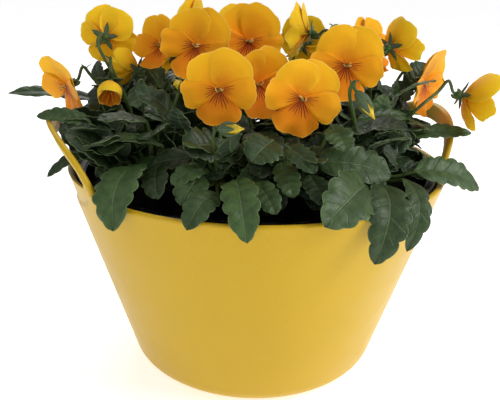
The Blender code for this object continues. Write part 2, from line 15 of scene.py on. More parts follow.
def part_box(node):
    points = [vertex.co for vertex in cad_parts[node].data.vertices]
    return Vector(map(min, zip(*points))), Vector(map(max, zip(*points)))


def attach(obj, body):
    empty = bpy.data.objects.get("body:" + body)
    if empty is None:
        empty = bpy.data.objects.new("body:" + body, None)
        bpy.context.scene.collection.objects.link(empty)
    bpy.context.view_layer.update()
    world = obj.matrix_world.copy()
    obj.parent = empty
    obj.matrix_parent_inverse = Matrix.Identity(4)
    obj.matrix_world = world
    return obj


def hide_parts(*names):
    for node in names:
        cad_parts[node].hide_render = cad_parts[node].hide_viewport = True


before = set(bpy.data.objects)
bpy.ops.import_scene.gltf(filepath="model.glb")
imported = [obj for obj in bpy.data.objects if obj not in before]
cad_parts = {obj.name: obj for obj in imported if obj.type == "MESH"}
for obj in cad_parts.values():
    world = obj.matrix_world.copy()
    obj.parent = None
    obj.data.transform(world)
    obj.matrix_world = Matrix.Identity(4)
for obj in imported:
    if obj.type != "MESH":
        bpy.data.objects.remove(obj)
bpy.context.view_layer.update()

MM = 0.001

# Planter
RIM_HEIGHT = 0.132
RIM_RADIUS = 0.120
WALL_FLARE = 0.311
WALL = 0.004
FLOOR = 0.004
FOOT_FILLET = 0.015
EAR_RISE = 0.033
EAR_HALF_ANGLE = math.radians(25)
SLOT_HALF_WIDTH = 0.045
SLOT_BOTTOM = RIM_HEIGHT + 0.0015
SLOT_RISE = 0.021
SLOT_CORNER = math.radians(12)
CUTTER_REACH = 0.012
RECESS_DEPTH = 0.0014
RECESS_MARGIN = 0.016
RECESS_WIDTH = 0.93
RECESS_EDGE = 0.92
SHOULDER = RIM_HEIGHT - 0.010
WALL_SHARES = (0.12, 0.25, 0.4, 0.55, 0.7, 0.8, 0.86, 0.89, 0.91, 0.925, 0.94, 0.955, 0.97, 0.985)

# Grow pot, soil and crowns
POT_WALL = 0.002
POT_CLEARANCE = 0.0015
POT_LIP_TOP = RIM_HEIGHT - 0.0015
LIP_RADIUS, LIP_RISE = 0.0011, 0.0012
SOIL_EDGE_HEIGHT = 0.119
SOIL_MOUND = 0.003
SOIL_RADIUS = 0.105
SOIL_DIP = 0.0006
CRUMBS = 700
PLANTS = 5
PLANT_ANGLE = 72
PLANT_RING = 0.060
FIRST_PLANT_ANGLE = -106
CROWN_RADIUS = 0.007
CROWN_KNOBS = 9

# Shoots: each plant has two outer cells and an inner one. A hub is a radius and a height.
CELL_ANGLE = 36
CELL_SPLIT_RADIUS = 0.051
OUTER_HUB = (74, 139)
INNER_HUB = (30, 143)
BLOOM_DEPTH = 0.007
BUD_LENGTH = 0.017
BUD_RADIUS = 0.0036
# The hook in a bud's stalk, as a share of the hook in a bloom's.
BUD_HOOK = 0.4

# Leaves by rule: how many for each outer cell and each inner one, and the ranges to draw from,
# in degrees and millimetres: turn, length, rise, and the base's radius and height.
FILL_OUTER = (1, 1, 1, 3, 5, 5, 5, 5, 3, 3)
FILL_INNER = 3
OUTER_RANGES = ((-9, 9), (26, 36), (-20, 5), (76, 84), (148, 156))
INNER_RANGES = ((-22, 22), (24, 32), (25, 60), (16, 24), (152, 164))
RISING_RANGE = (5, 40)
FILL_STEP = 8
FILL_SEED = 7
FILL_ARCH = 0.18
FILL_TRIES = 60
# The shares of a leaf's length where it is tested against the blooms.
LEAF_POINTS = (0.3, 0.65, 1.0)
EAR_ZONE = 32
EAR_ZONE_REACH = 108
EAR_ZONE_TOP = 168
BLOOM_MARGIN = 5
BLOOM_SPACE = (-0.014, 0.012)
BUD_SPACE = 0.014
SHOWN_LEAF_MARGIN = 3

# Undergrowth: how many small leaves a shoot has, and in degrees and millimetres where they stand.
# Shoots beside an ear have more, and every second leaf there is larger and stands further out.
UNDERGROWTH = 30
EAR_UNDERGROWTH = 20
UNDERGROWTH_TRIES = 9
INNER_PATCH = (34, (12, 54))
OUTER_PATCH = (17, (54, 104))
EAR_PATCH = (80, 106)
EAR_CELL_REACH, LEFT_EAR_REACH = 36, 30
UNDERGROWTH_BASE = (131, 150)
UNDERGROWTH_CLIMB = 38
UNDERGROWTH_RISE = (-15, 55)
UNDERGROWTH_LENGTH, EAR_LEAF_LENGTH = (17, 31), (22, 32)
UNDERGROWTH_SWING, EAR_LEAF_SWING = 75, 100
UNDERGROWTH_TOP = 0.192
WALL_SPACE = 0.004
PLAIN_WALL_SPACE = 0.018

# The leaves that stand up behind the left ear's slot, from start to end round the bowl.
EAR_FILL = 18
EAR_FILL_START, EAR_FILL_SPAN = 158, 40
EAR_FILL_FOOT = ((88, 96), (138, 146))
EAR_FILL_TOP = (151, 167)
EAR_FILL_SPACE = (3, 10)
EAR_FILL_SWING = 8

# The side that the planting is dressed to, as a compass angle and a pitch, the number of blooms
# that show there, and how far before a bloom or a shown leaf a small leaf still hides it.
BEST_SIDE = (-107, 19)
BEST_SIDE_BLOOMS = 16
BEST_SIDE_DEPTH = (-0.001, 0.130)

# Leaves that show: base (angle, radius, height), tip (angle, radius, height), width, arch,
# in degrees and millimetres. The arch is a share of the leaf's length.
SHOWN_LEAVES = (
    (-152, 92, 146, -142, 127, 122, 30, 0.42),
    (176, 84, 160, 178, 106, 136, 20, 0.20),
    (-170, 88, 143, -170, 105, 133, 17, 0.20),
    (-147, 86, 146, -135, 109, 137, 17, 0.15),
    (-127, 86, 145, -128, 107, 135, 20, 0.20),
    (-127, 81, 148, -133, 101, 143, 14, 0.25),
    (-119, 98, 140, -123, 123, 129, 18, 0.40),
    (-114, 90, 146, -109, 126, 126, 22, 0.42),
    (-107, 92, 145, -102, 111, 135, 15, 0.18),
    (-96, 80, 161, -90, 100, 152, 14, 0.22),
    (-101, 78, 164, -109, 94, 157, 24, 0.20),
    (-84, 82, 153, -62, 103, 145, 25, 0.15),
    (-70, 98, 141, -92, 125, 133, 32, 0.30),
    (-66, 101, 141, -79, 127, 110, 26, 0.55),
    (-56, 105, 141, -67, 124, 110, 16, 0.55),
    (-46, 104, 141, -34, 139, 128, 24, 0.25),
    (-48, 94, 144, -58, 92, 156, 14, 0.15),
    (-44, 94, 142, -42, 111, 136, 15, 0.15),
    (-67, 92, 143, -69, 110, 137, 13, 0.15),
    (-26, 96, 154, -20, 136, 154, 14, 0.10),
    (-51, 70, 168, -31, 94, 167, 11, 0.15),
    (-77, 78, 170, -77, 94, 160, 18, 0.15),
    (-55, 84, 160, -58, 98, 167, 12, 0.15),
    (-39, 74, 166, -37, 80, 181, 17, 0.10),
    (-26, 84, 170, -28, 84, 187, 14, 0.10),
    (-88, 84, 146, -88, 106, 136, 16, 0.15),
    (-98, 78, 152, -96, 98, 139, 16, 0.15),
    (-124, 72, 158, -131, 93, 160, 26, 0.20),
    (-119, 70, 154, -116, 88, 168, 22, 0.15),
    (149, 110, 164, 158, 164, 170, 18, 0.12),
    (184, 104, 162, 181, 134, 167, 13, 0.20),
    (181, 98, 146, 182, 131, 131, 12, 0.20),
    (-164, 86, 158, -158, 108, 152, 22, 0.20),
    (-157, 74, 160, -146, 92, 163, 24, 0.20),
)

# Blooms: angle, radius, height, facing, pitch, roll, width, cup. Facing is a compass angle.
BLOOMS = (
    (154, 98, 208, 70, 5, 10, 38, 10),
    (166, 120, 179, 205, -22, 0, 44, 14),
    (177, 91, 182, -100, -35, 0, 26, 60),
    (159, 80, 188, 135, 5, 20, 32, 40),
    (158, 62, 204, 215, 20, 0, 38, 20),
    (-176, 40, 206, -120, 12, -10, 44, 8),
    (-126, 65, 188, -112, 2, 0, 42, 6),
    (173, 6, 208, -100, 10, 0, 44, 10),
    (-107, 39, 188, -72, 0, 0, 42, 14),
    (-86, 66, 184, -98, 0, -14, 43, 6),
    (30, 45, 211, 145, 5, 0, 42, 24),
    (-59, 66, 200, -110, 8, -6, 43, 8),
    (-10, 71, 205, -50, 25, 0, 38, 15),
    (-22, 83, 207, 15, 5, 0, 36, 25),
    (-10, 110, 182, -55, -12, 0, 46, 14),
    (-21, 130, 177, -12, -20, 0, 45, 34),
    (50, 86, 199, 50, 12, 0, 42, 12),
    (85, 70, 204, 95, 8, 8, 44, 10),
    (115, 92, 192, 110, 5, 0, 42, 12),
    (130, 52, 212, 140, 15, 0, 42, 12),
    (25, 100, 184, 15, 0, 0, 40, 18),
    (80, 106, 180, 80, -5, -8, 42, 14),
)
# The point that a flower's stalk bends through, where it doesn't rise straight: bloom, place.
STALK_BENDS = {16: (-33, 100, 174)}

# Buds: angle, radius, height, facing, pitch.
BUDS = (
    (-115, 96, 174, -60, 10),
    (-70, 93, 183, -50, -50),
    (-147, 69, 189, -100, 10),
    (-4, 50, 214, 60, -10),
    (100, 60, 182, 120, 30),
)


def around(radius, turn, height):
    """A point at a distance from the axis, turned round it by an angle in radians."""
    return radius * math.cos(turn), radius * math.sin(turn), height


def polar(angle, radius, height):
    """A point from degrees and millimetres."""
    return Vector(around(radius, math.radians(angle), height)) * MM


def facing_of(angle, pitch):
    """The unit vector that a flower looks along."""
    rise = math.radians(pitch)
    return Vector(around(math.cos(rise), math.radians(angle), math.sin(rise)))


def upward(height):
    return Vector((0, 0, height))


def facing_frame(place, facing, pitch, roll):
    """A matrix whose Z looks along a compass angle and a pitch, and whose Y is the top there."""
    out = facing_of(facing, pitch)
    right = upward(1).cross(out).normalized()
    turned = Matrix((right, out.cross(right), out)).transposed()
    return Matrix.Translation(place) @ (turned @ Matrix.Rotation(math.radians(roll), 3, "Z")).to_4x4()


def steps(count):
    """Even places from 0 to 1, both included."""
    return [i / count for i in range(count + 1)]


def smoothstep(low, high, value):
    share = min(max((value - low) / (high - low), 0.0), 1.0)
    return share * share * (3 - 2 * share)


def bow(base, knee, tip, s):
    """The place at a share of the way from base to tip, on a curve drawn towards the knee."""
    return base * (1 - s) ** 2 + knee * (2 * s * (1 - s)) + tip * s * s


def add_object(name, data):
    made = bpy.data.objects.new(name, data)
    bpy.context.scene.collection.objects.link(made)
    return made


# ---------------------------------------------------------------- material nodes


NOISE_RANGE = (0.3, 0.7)


class Finish:
    """A node material, with short calls for the nodes that it is made of."""

    def __init__(self, name, **uniform):
        self.material = bpy.data.materials.new(name)
        self.material.use_nodes = True
        self.tree = self.material.node_tree
        self.shader = self.tree.nodes["Principled BSDF"]
        for socket, value in uniform.items():
            self.shader.inputs[socket.replace("_", " ")].default_value = value

    def add(self, kind, sockets=None, **settings):
        node = self.tree.nodes.new(kind)
        for key, value in settings.items():
            setattr(node, key, value)
        for key, value in (sockets or {}).items():
            self.put(node.inputs[key], value)
        return node

    def put(self, socket, value):
        if isinstance(value, bpy.types.NodeSocket):
            self.tree.links.new(value, socket)
        else:
            socket.default_value = value

    def calc(self, operation, *values):
        return self.add("ShaderNodeMath", dict(enumerate(values)), operation=operation).outputs[0]

    def times(self, first, second):
        return self.calc("MULTIPLY", first, second)

    def step(self, value, low, high, to_low=0.0, to_high=1.0):
        sockets = {"Value": value, "From Min": low, "From Max": high}
        sockets.update({"To Min": to_low, "To Max": to_high})
        made = self.add("ShaderNodeMapRange", sockets, interpolation_type="SMOOTHSTEP")
        return made.outputs["Result"]

    def mix(self, share, first, second):
        made = self.add("ShaderNodeMix", data_type="RGBA")
        self.put(made.inputs["Factor"], share)
        for socket, value in ((6, first), (7, second)):
            colour = value if isinstance(value, bpy.types.NodeSocket) else (*value, 1)
            self.put(made.inputs[socket], colour)
        return made.outputs[2]

    def blend(self, grain, first, second):
        """A mix of two colours by a noise, over the range that holds most of its values."""
        return self.mix(self.step(grain, *NOISE_RANGE), first, second)

    def coordinates(self):
        return self.add("ShaderNodeTexCoord").outputs["Object"]

    def noise(self, scale, detail=3.0, roughness=0.5, vector=None):
        sockets = {"Vector": vector or self.coordinates(), "Scale": scale}
        sockets.update({"Detail": detail, "Roughness": roughness})
        return self.add("ShaderNodeTexNoise", sockets).outputs["Fac"]

    def pattern(self):
        """The two pattern coordinates, across from -1 to 1 and along from 0 to 1."""
        place = self.add("ShaderNodeUVMap", uv_map="pattern").outputs["UV"]
        parts = self.add("ShaderNodeSeparateXYZ", {"Vector": place})
        across = self.calc("MULTIPLY_ADD", parts.outputs["X"], 2.0, -1.0)
        return across, parts.outputs["Y"]

    def shade(self):
        """The number from 0 to 1 that each leaf or petal carries."""
        return self.add("ShaderNodeAttribute", attribute_name="shade").outputs["Fac"]

    def colour(self, value):
        self.put(self.shader.inputs["Base Color"], value)

    def rough(self, value):
        self.put(self.shader.inputs["Roughness"], value)

    def rough_by(self, grain, low, high):
        self.rough(self.step(grain, *NOISE_RANGE, low, high))

    def bump(self, height, depth, strength):
        sockets = {"Height": height, "Distance": depth, "Strength": strength}
        made = self.add("ShaderNodeBump", sockets)
        self.put(self.shader.inputs["Normal"], made.outputs["Normal"])


def planter_plastic():
    finish = Finish("planter_plastic", Specular_IOR_Level=0.26, Coat_Weight=0.04)
    finish.shader.inputs["Coat Roughness"].default_value = 0.3
    broad = finish.noise(9.0, 2.0)
    base = finish.blend(broad, (0.56, 0.350, 0.008), (0.60, 0.380, 0.011))
    speck = finish.noise(900.0, 2.0)
    worn = finish.times(finish.step(speck, 0.62, 0.75), 0.25)
    finish.colour(finish.mix(worn, base, (0.78, 0.52, 0.09)))
    finish.rough_by(finish.noise(60.0, 4.0), 0.34, 0.42)
    finish.bump(finish.noise(1400.0, 2.0), 0.00004, 0.4)
    return finish.material


def pot_plastic():
    finish = Finish("pot_plastic", Specular_IOR_Level=0.18)
    dust = finish.step(finish.noise(140.0, 4.0), 0.55, 0.8)
    finish.colour(finish.mix(dust, (0.002, 0.002, 0.004), (0.006, 0.005, 0.005)))
    finish.rough(finish.step(finish.noise(220.0, 3.0), 0.35, 0.7, 0.16, 0.30))
    finish.bump(finish.noise(90.0, 2.0), 0.0004, 0.35)
    return finish.material


def soil_matter():
    finish = Finish("soil", Specular_IOR_Level=0.1)
    grain = finish.noise(420.0, 6.0, 0.7)
    base = finish.mix(finish.step(grain, 0.35, 0.7), (0.004, 0.003, 0.003), (0.018, 0.012, 0.008))
    cells = finish.add("ShaderNodeTexVoronoi", {"Vector": finish.coordinates(), "Scale": 520.0})
    fleck = finish.step(cells.outputs["Distance"], 0.22, 0.12)
    rare = finish.times(fleck, finish.step(finish.noise(60.0), 0.6, 0.7))
    finish.colour(finish.mix(rare, base, (0.07, 0.05, 0.03)))
    finish.rough_by(grain, 0.55, 0.95)
    finish.bump(grain, 0.0012, 0.9)
    return finish.material


def root_matter():
    finish = Finish("crown_bark", Specular_IOR_Level=0.3)
    grain = finish.noise(600.0, 5.0, 0.65)
    finish.colour(finish.mix(finish.step(grain, 0.35, 0.7), (0.020, 0.022, 0.008), (0.10, 0.11, 0.035)))
    finish.rough_by(grain, 0.5, 0.8)
    finish.bump(grain, 0.0006, 0.8)
    return finish.material


def leaf_veins(finish):
    """How much of a midrib, a side vein and an edge there is at each place on a leaf."""
    across, along = finish.pattern()
    off = finish.calc("ABSOLUTE", across)
    midrib = finish.step(off, 0.075, 0.02)
    slanted = finish.calc("MULTIPLY_ADD", off, -0.85, finish.times(along, 6.0))
    wander = finish.calc("MULTIPLY_ADD", finish.noise(260.0, 2.0), 0.35, slanted)
    phase = finish.calc("FRACT", wander)
    near = finish.calc("ABSOLUTE", finish.calc("SUBTRACT", phase, 0.5))
    side = finish.times(finish.step(near, 0.085, 0.015), finish.step(off, 1.0, 0.5))
    edge = finish.step(off, 0.93, 1.0)
    return midrib, side, edge, near


def leaf_upper():
    finish = Finish("leaf_upper", Specular_IOR_Level=0.34)
    midrib, side, edge, near = leaf_veins(finish)
    # Low shade numbers give the dark tone: random tone on the large leaves, painted shade on the
    # undergrowth.
    dark = finish.mix(finish.shade(), (0.009, 0.018, 0.007), (0.036, 0.074, 0.018))
    light = finish.mix(finish.shade(), (0.020, 0.036, 0.013), (0.070, 0.132, 0.034))
    mottle = finish.step(finish.noise(210.0, 4.0, 0.6), 0.3, 0.72)
    base = finish.mix(mottle, dark, light)
    veined = finish.mix(finish.times(side, 0.40), base, (0.060, 0.098, 0.036))
    ribbed = finish.mix(finish.times(midrib, 0.75), veined, (0.095, 0.140, 0.058))
    finish.colour(finish.mix(finish.times(edge, 0.80), ribbed, (0.140, 0.200, 0.080)))
    finish.rough_by(finish.noise(500.0, 3.0), 0.34, 0.50)
    pillow = finish.times(finish.calc("SQRT", near), 0.8)
    sunk = finish.calc("SUBTRACT", pillow, finish.times(midrib, 0.6))
    fine = finish.calc("MULTIPLY_ADD", finish.noise(1500.0, 3.0), 0.25, sunk)
    finish.bump(fine, 0.0010, 0.75)
    return finish.material


def leaf_under():
    finish = Finish("leaf_under", Specular_IOR_Level=0.2)
    midrib, side = leaf_veins(finish)[:2]
    base = finish.mix(finish.noise(240.0, 4.0), (0.060, 0.095, 0.045), (0.105, 0.150, 0.080))
    veined = finish.mix(finish.times(side, 0.4), base, (0.19, 0.26, 0.15))
    finish.colour(finish.mix(finish.times(midrib, 0.8), veined, (0.24, 0.31, 0.18)))
    finish.rough_by(finish.noise(500.0, 3.0), 0.50, 0.65)
    raised = finish.calc("MAXIMUM", midrib, finish.times(side, 0.6))
    finish.bump(raised, 0.0005, 0.6)
    return finish.material


def stem_green():
    finish = Finish("stem_green", Specular_IOR_Level=0.25)
    streak = finish.noise(300.0, 4.0, 0.6)
    base = finish.blend(streak, (0.038, 0.072, 0.016), (0.085, 0.140, 0.034))
    blush = finish.times(finish.step(finish.noise(55.0, 2.0), 0.55, 0.7), 0.35)
    finish.colour(finish.mix(blush, base, (0.11, 0.075, 0.035)))
    finish.rough_by(streak, 0.40, 0.52)
    finish.bump(finish.noise(900.0, 3.0), 0.0002, 0.5)
    return finish.material


def petal(name, deep, body, rim, lines, reach, strength):
    """A petal's finish: deep at the throat, lighter to the rim, with fine rays and whisker lines."""
    finish = Finish(name, Specular_IOR_Level=0.1, Sheen_Weight=0.03, Subsurface_Weight=0.15)
    finish.shader.inputs["Subsurface Radius"].default_value = (0.004, 0.002, 0.0006)
    finish.shader.inputs["Subsurface Scale"].default_value = 1.0
    across, along = finish.pattern()
    off = finish.calc("ABSOLUTE", across)
    tint = finish.mix(finish.shade(), body, rim)
    inner = finish.mix(finish.step(along, 0.05, 0.62), deep, tint)
    outward = finish.mix(finish.step(along, 0.55, 1.0), inner, rim)
    fan = finish.add("ShaderNodeCombineXYZ", {"X": across, "Y": finish.times(along, 0.12)})
    ray = finish.noise(26.0, 3.0, 0.6, fan.outputs[0])
    rays = finish.times(finish.step(ray, 0.52, 0.68), finish.step(along, 1.0, 0.1))
    rayed = finish.mix(finish.times(rays, 0.30), outward, deep)
    cloudy = finish.times(finish.step(finish.noise(160.0, 3.0), 0.45, 0.75), 0.25)
    soft = finish.mix(cloudy, rayed, rim)
    if lines:
        beat = finish.calc("FRACT", finish.calc("MULTIPLY_ADD", across, lines / 2, lines / 2))
        near = finish.calc("ABSOLUTE", finish.calc("SUBTRACT", beat, 0.5))
        stagger = finish.noise(3.1 * lines / 5, 1.0, 0.5, fan.outputs[0])
        limit = finish.times(finish.step(stagger, 0.3, 0.7, 0.72, 1.12), reach)
        inward = finish.calc("DIVIDE", along, limit)
        width = finish.step(inward, 0.2, 1.0, 0.36, 0.12)
        thin = finish.calc("SUBTRACT", width, near)
        line = finish.times(finish.step(thin, 0.0, 0.09), finish.step(inward, 1.0, 0.86))
        central = finish.times(line, finish.step(off, 0.92, 0.75))
        from_throat = finish.times(central, strength)
        lined = finish.mix(from_throat, soft, (0.12, 0.009, 0.006))
        soft = finish.mix(finish.step(along, 0.17, 0.05, 0.0, 0.8), lined, (0.20, 0.03, 0.006))
    margin = finish.times(finish.step(along, 0.965, 1.0), 0.5)
    finish.colour(finish.mix(margin, soft, (0.98, 0.66, 0.13)))
    finish.rough_by(finish.noise(700.0, 2.0), 0.50, 0.62)
    finish.bump(finish.calc("MULTIPLY_ADD", finish.noise(900.0, 2.0), 0.3, ray), 0.00025, 0.5)
    return finish.material


def yellow_tissue(name, first, second):
    finish = Finish(name, Specular_IOR_Level=0.3, Subsurface_Weight=0.1)
    finish.shader.inputs["Subsurface Radius"].default_value = (0.002, 0.001, 0.0004)
    grain = finish.noise(500.0, 3.0, 0.6)
    finish.colour(finish.blend(grain, first, second))
    finish.rough_by(grain, 0.45, 0.6)
    finish.bump(grain, 0.0002, 0.4)
    return finish.material


def floor_matter():
    white = (1, 1, 1, 1)
    finish = Finish("floor", Specular_IOR_Level=0.2, Emission_Color=white, Emission_Strength=0.60)
    finish.colour(finish.blend(finish.noise(3.0, 2.0), (0.90, 0.90, 0.90), (0.93, 0.93, 0.93)))
    finish.rough(0.7)
    return finish.material


# ---------------------------------------------------------------- mesh building


class Patchwork:
    """The points and faces of one piece, with a finish, a pattern place and a shade for each."""

    def __init__(self, finishes):
        self.finishes = finishes
        self.points = []
        self.places = []
        self.shades = []
        self.faces = []
        self.kinds = []

    def put(self, point, place=(0.5, 0.5), shade=0.5):
        self.points.append(tuple(point))
        self.places.append(place)
        self.shades.append(shade)
        return len(self.points) - 1

    def face(self, corners, kind):
        self.faces.append(tuple(corners))
        self.kinds.append(kind)

    def sheet(self, stations, columns, row_at, kinds, shade, thickness):
        """A thin closed plate: for each place s along it, row_at(s) gives the point at t across it.

        t goes from -1 to 1. The kinds are the finishes of the upper side and the under side.
        """
        across = [2 * share - 1 for share in steps(columns)]
        grid = []
        for s in stations:
            point_at = row_at(s)
            grid.append([point_at(t) for t in across])
        sides = []
        for offset in (0, thickness):
            side = []
            for s, row, normals in zip(stations, grid, grid_normals(grid)):
                line = []
                for t, point, normal in zip(across, row, normals):
                    line.append(self.put(point - normal * offset, (0.5 + t / 2, s), shade))
                side.append(line)
            sides.append(side)
        upper, under = sides
        last = len(grid) - 1
        for i in range(last):
            for j in range(columns):
                corners = (upper[i][j], upper[i][j + 1], upper[i + 1][j + 1], upper[i + 1][j])
                self.face(corners, kinds[0])
                corners = (under[i][j], under[i + 1][j], under[i + 1][j + 1], under[i][j + 1])
                self.face(corners, kinds[1])
        rim = [(0, j) for j in range(columns)] + [(i, columns) for i in range(last)]
        rim += [(last, j) for j in range(columns, 0, -1)] + [(i, 0) for i in range(last, 0, -1)]
        for (a, b), (c, d) in zip(rim, rim[1:] + rim[:1]):
            self.face((upper[a][b], under[a][b], under[c][d], upper[c][d]), kinds[0])

    def skin(self, first, rings, last):
        """A closed skin from one point on the axis, over rings of points, to another."""
        start = self.put(first)
        numbers = [[self.put(point) for point in ring] for ring in rings]
        end = self.put(last)
        for k in range(len(numbers[0])):
            after = (k + 1) % len(numbers[0])
            self.face((start, numbers[0][after], numbers[0][k]), 0)
            for low, high in zip(numbers, numbers[1:]):
                self.face((low[k], low[after], high[after], high[k]), 0)
            self.face((numbers[-1][k], numbers[-1][after], end), 0)

    def pipe(self, path, radii, sides, kind, shade=0.5, lobes=0, depth=0.0, twist=0.0):
        """A closed tube through the points, round or with lobes that twist along it."""
        tangents = []
        for i in range(len(path)):
            before = path[max(i - 1, 0)]
            after = path[min(i + 1, len(path) - 1)]
            tangents.append((after - before).normalized())
        side = tangents[0].orthogonal().normalized()
        rings = []
        for i, (centre, tangent, radius) in enumerate(zip(path, tangents, radii)):
            side = (side - tangent * side.dot(tangent)).normalized()
            other = tangent.cross(side)
            along = i / (len(path) - 1)
            ring = []
            for j in range(sides):
                turn = math.tau * j / sides
                wide = radius * (1 + depth * math.cos(lobes * turn + twist * along))
                out = side * math.cos(turn) + other * math.sin(turn)
                ring.append(self.put(centre + out * wide, (j / sides, along), shade))
            rings.append(ring)
        for low, high in zip(rings, rings[1:]):
            for j in range(sides):
                k = (j + 1) % sides
                self.face((low[j], low[k], high[k], high[j]), kind)
        for ring, centre, back in ((rings[0], path[0], True), (rings[-1], path[-1], False)):
            middle = self.put(centre, (0.5, 0.0 if back else 1.0), shade)
            for j in range(sides):
                k = (j + 1) % sides
                corners = (middle, ring[k], ring[j]) if back else (middle, ring[j], ring[k])
                self.face(corners, kind)

    def finish(self, name, nodes, slot, sharp):
        """The piece as an object, which rides on the root and stands for its CAD nodes."""
        mesh = bpy.data.meshes.new(name)
        mesh.from_pydata(self.points, [], self.faces)
        for finish in self.finishes:
            mesh.materials.append(finish)
        mesh.polygons.foreach_set("material_index", self.kinds)
        pattern = mesh.uv_layers.new(name="pattern")
        for loop in mesh.loops:
            pattern.data[loop.index].uv = self.places[loop.vertex_index]
        shades = mesh.attributes.new("shade", "FLOAT", "POINT")
        shades.data.foreach_set("value", self.shades)
        mesh.update()
        mesh.shade_smooth()
        mesh.set_sharp_from_angle(angle=math.radians(sharp))
        piece = add_object(name, mesh)
        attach(piece, "root")
        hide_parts(*nodes)
        return piece


def grid_normals(grid):
    rows, columns = len(grid), len(grid[0])
    normals = []
    for i in range(rows):
        line = []
        for j in range(columns):
            along = grid[min(i + 1, rows - 1)][j] - grid[max(i - 1, 0)][j]
            across = grid[i][min(j + 1, columns - 1)] - grid[i][max(j - 1, 0)]
            line.append(across.cross(along).normalized())
        normals.append(line)
    return normals


def smooth_path(points, count):
    """Points on a smooth curve through the given ones."""
    padded = [points[0] * 2 - points[1]] + list(points) + [points[-1] * 2 - points[-2]]
    path = []
    for a, b, c, d in zip(padded, padded[1:], padded[2:], padded[3:]):
        for i in range(count):
            t = i / count
            bent = (a * 2 - b * 5 + c * 4 - d) * t * t + (b * 3 - a - c * 3 + d) * t * t * t
            path.append((b * 2 + (c - a) * t + bent) / 2)
    path.append(points[-1])
    return path


# ---------------------------------------------------------------- planter


def outer_radius(height):
    return RIM_RADIUS + WALL_FLARE * (height - RIM_HEIGHT)


def inner_radius(height):
    return outer_radius(height) - WALL


def ear_edge(angle):
    """The height of the wall's top at an angle, and the edge's outward direction in the wall."""
    off = math.remainder(angle, math.pi)
    share = off / EAR_HALF_ANGLE
    if abs(share) >= 1:
        return RIM_HEIGHT, (0.0, 1.0)
    rise = EAR_RISE * math.sqrt(1 - share * share)
    half_width = EAR_HALF_ANGLE * RIM_RADIUS
    slope = (share / half_width, rise / EAR_RISE / EAR_RISE)
    length = math.hypot(*slope)
    return RIM_HEIGHT + rise, (slope[0] / length, slope[1] / length)


def recess(angle, height):
    """How far the outside is set back in the shallow field round each ear's slot."""
    if height >= RIM_HEIGHT + EAR_RISE:
        return 0
    off = abs(math.remainder(angle, math.pi)) / (EAR_HALF_ANGLE * RECESS_WIDTH)
    drop = (height - RIM_HEIGHT) / (EAR_RISE if height > RIM_HEIGHT else RECESS_MARGIN)
    away = math.hypot(off, drop)
    return RECESS_DEPTH * (1 - smoothstep(RECESS_EDGE, 1.0, away))


def planter_angles():
    """The angles of the planter's columns, which stand closer together towards an ear's ends."""
    quarter = [EAR_HALF_ANGLE * math.sin(math.radians(step)) for step in range(0, 91, 3)]
    plain = 30
    left = math.pi / 2 - EAR_HALF_ANGLE
    quarter += [EAR_HALF_ANGLE + left * i / plain for i in range(1, plain + 1)]
    half = quarter + [math.pi - angle for angle in reversed(quarter[:-1])]
    return half[:-1] + [math.pi + angle for angle in half[:-1]]


def planter_column(angle):
    """One column of the planter's skin, from the middle of the foot up, over and down inside."""
    top, (slide, lift) = ear_edge(angle)
    flare = math.atan(WALL_FLARE)
    fillet_radius = outer_radius(FOOT_FILLET) - FOOT_FILLET / math.cos(flare)
    rows = [(angle, fillet_radius * share, 0.0) for share in (0.25, 0.5, 0.75, 0.93)]
    for share in steps(8):
        turn = (math.pi / 2 - flare) * share
        across = fillet_radius + FOOT_FILLET * math.sin(turn)
        rows.append((angle, across, FOOT_FILLET * (1 - math.cos(turn))))
    for share in WALL_SHARES:
        height = FOOT_FILLET + (SHOULDER - FOOT_FILLET) * share
        rows.append((angle, outer_radius(height) - recess(angle, height), height))
    edge_angle = angle - slide * (WALL / 2) / RIM_RADIUS
    edge_height = top - lift * WALL / 2
    climb = []
    for share in steps(12):
        place = angle + (edge_angle - angle) * share
        climb.append((place, SHOULDER + (edge_height - SHOULDER) * share))
    rows += [(place, outer_radius(height) - recess(place, height), height) for place, height in climb]
    for share in steps(8)[1:-1]:
        turn = math.pi * share
        push = math.sin(turn) * WALL / 2
        place = edge_angle + slide * push / RIM_RADIUS
        height = edge_height + lift * push
        depth = WALL / 2 * (1 - math.cos(turn)) + recess(place, height) * (1 - share)
        rows.append((place, outer_radius(height) - depth, height))
    rows += [(place, inner_radius(height), height) for place, height in reversed(climb)]
    rows += [(angle, inner_radius(height), height) for height in (0.09, 0.06, 0.03, FLOOR + 0.010)]
    rows.append((angle, inner_radius(FLOOR + 0.004) - 0.002, FLOOR + 0.004))
    rows.append((angle, inner_radius(FLOOR) - 0.008, FLOOR))
    return rows


def slot_loop(spread):
    """The outline of a hand slot as (sideways, height), widened all round by spread."""
    corner = SLOT_HALF_WIDTH * math.cos(SLOT_CORNER) - 0.003
    points = [(-corner + 2 * corner * share, SLOT_BOTTOM - spread) for share in steps(16)]
    for share in steps(32):
        turn = SLOT_CORNER + (math.pi - 2 * SLOT_CORNER) * share
        along = (SLOT_HALF_WIDTH + spread) * math.cos(turn)
        points.append((along, SLOT_BOTTOM + (SLOT_RISE + spread) * math.sin(turn)))
    return points


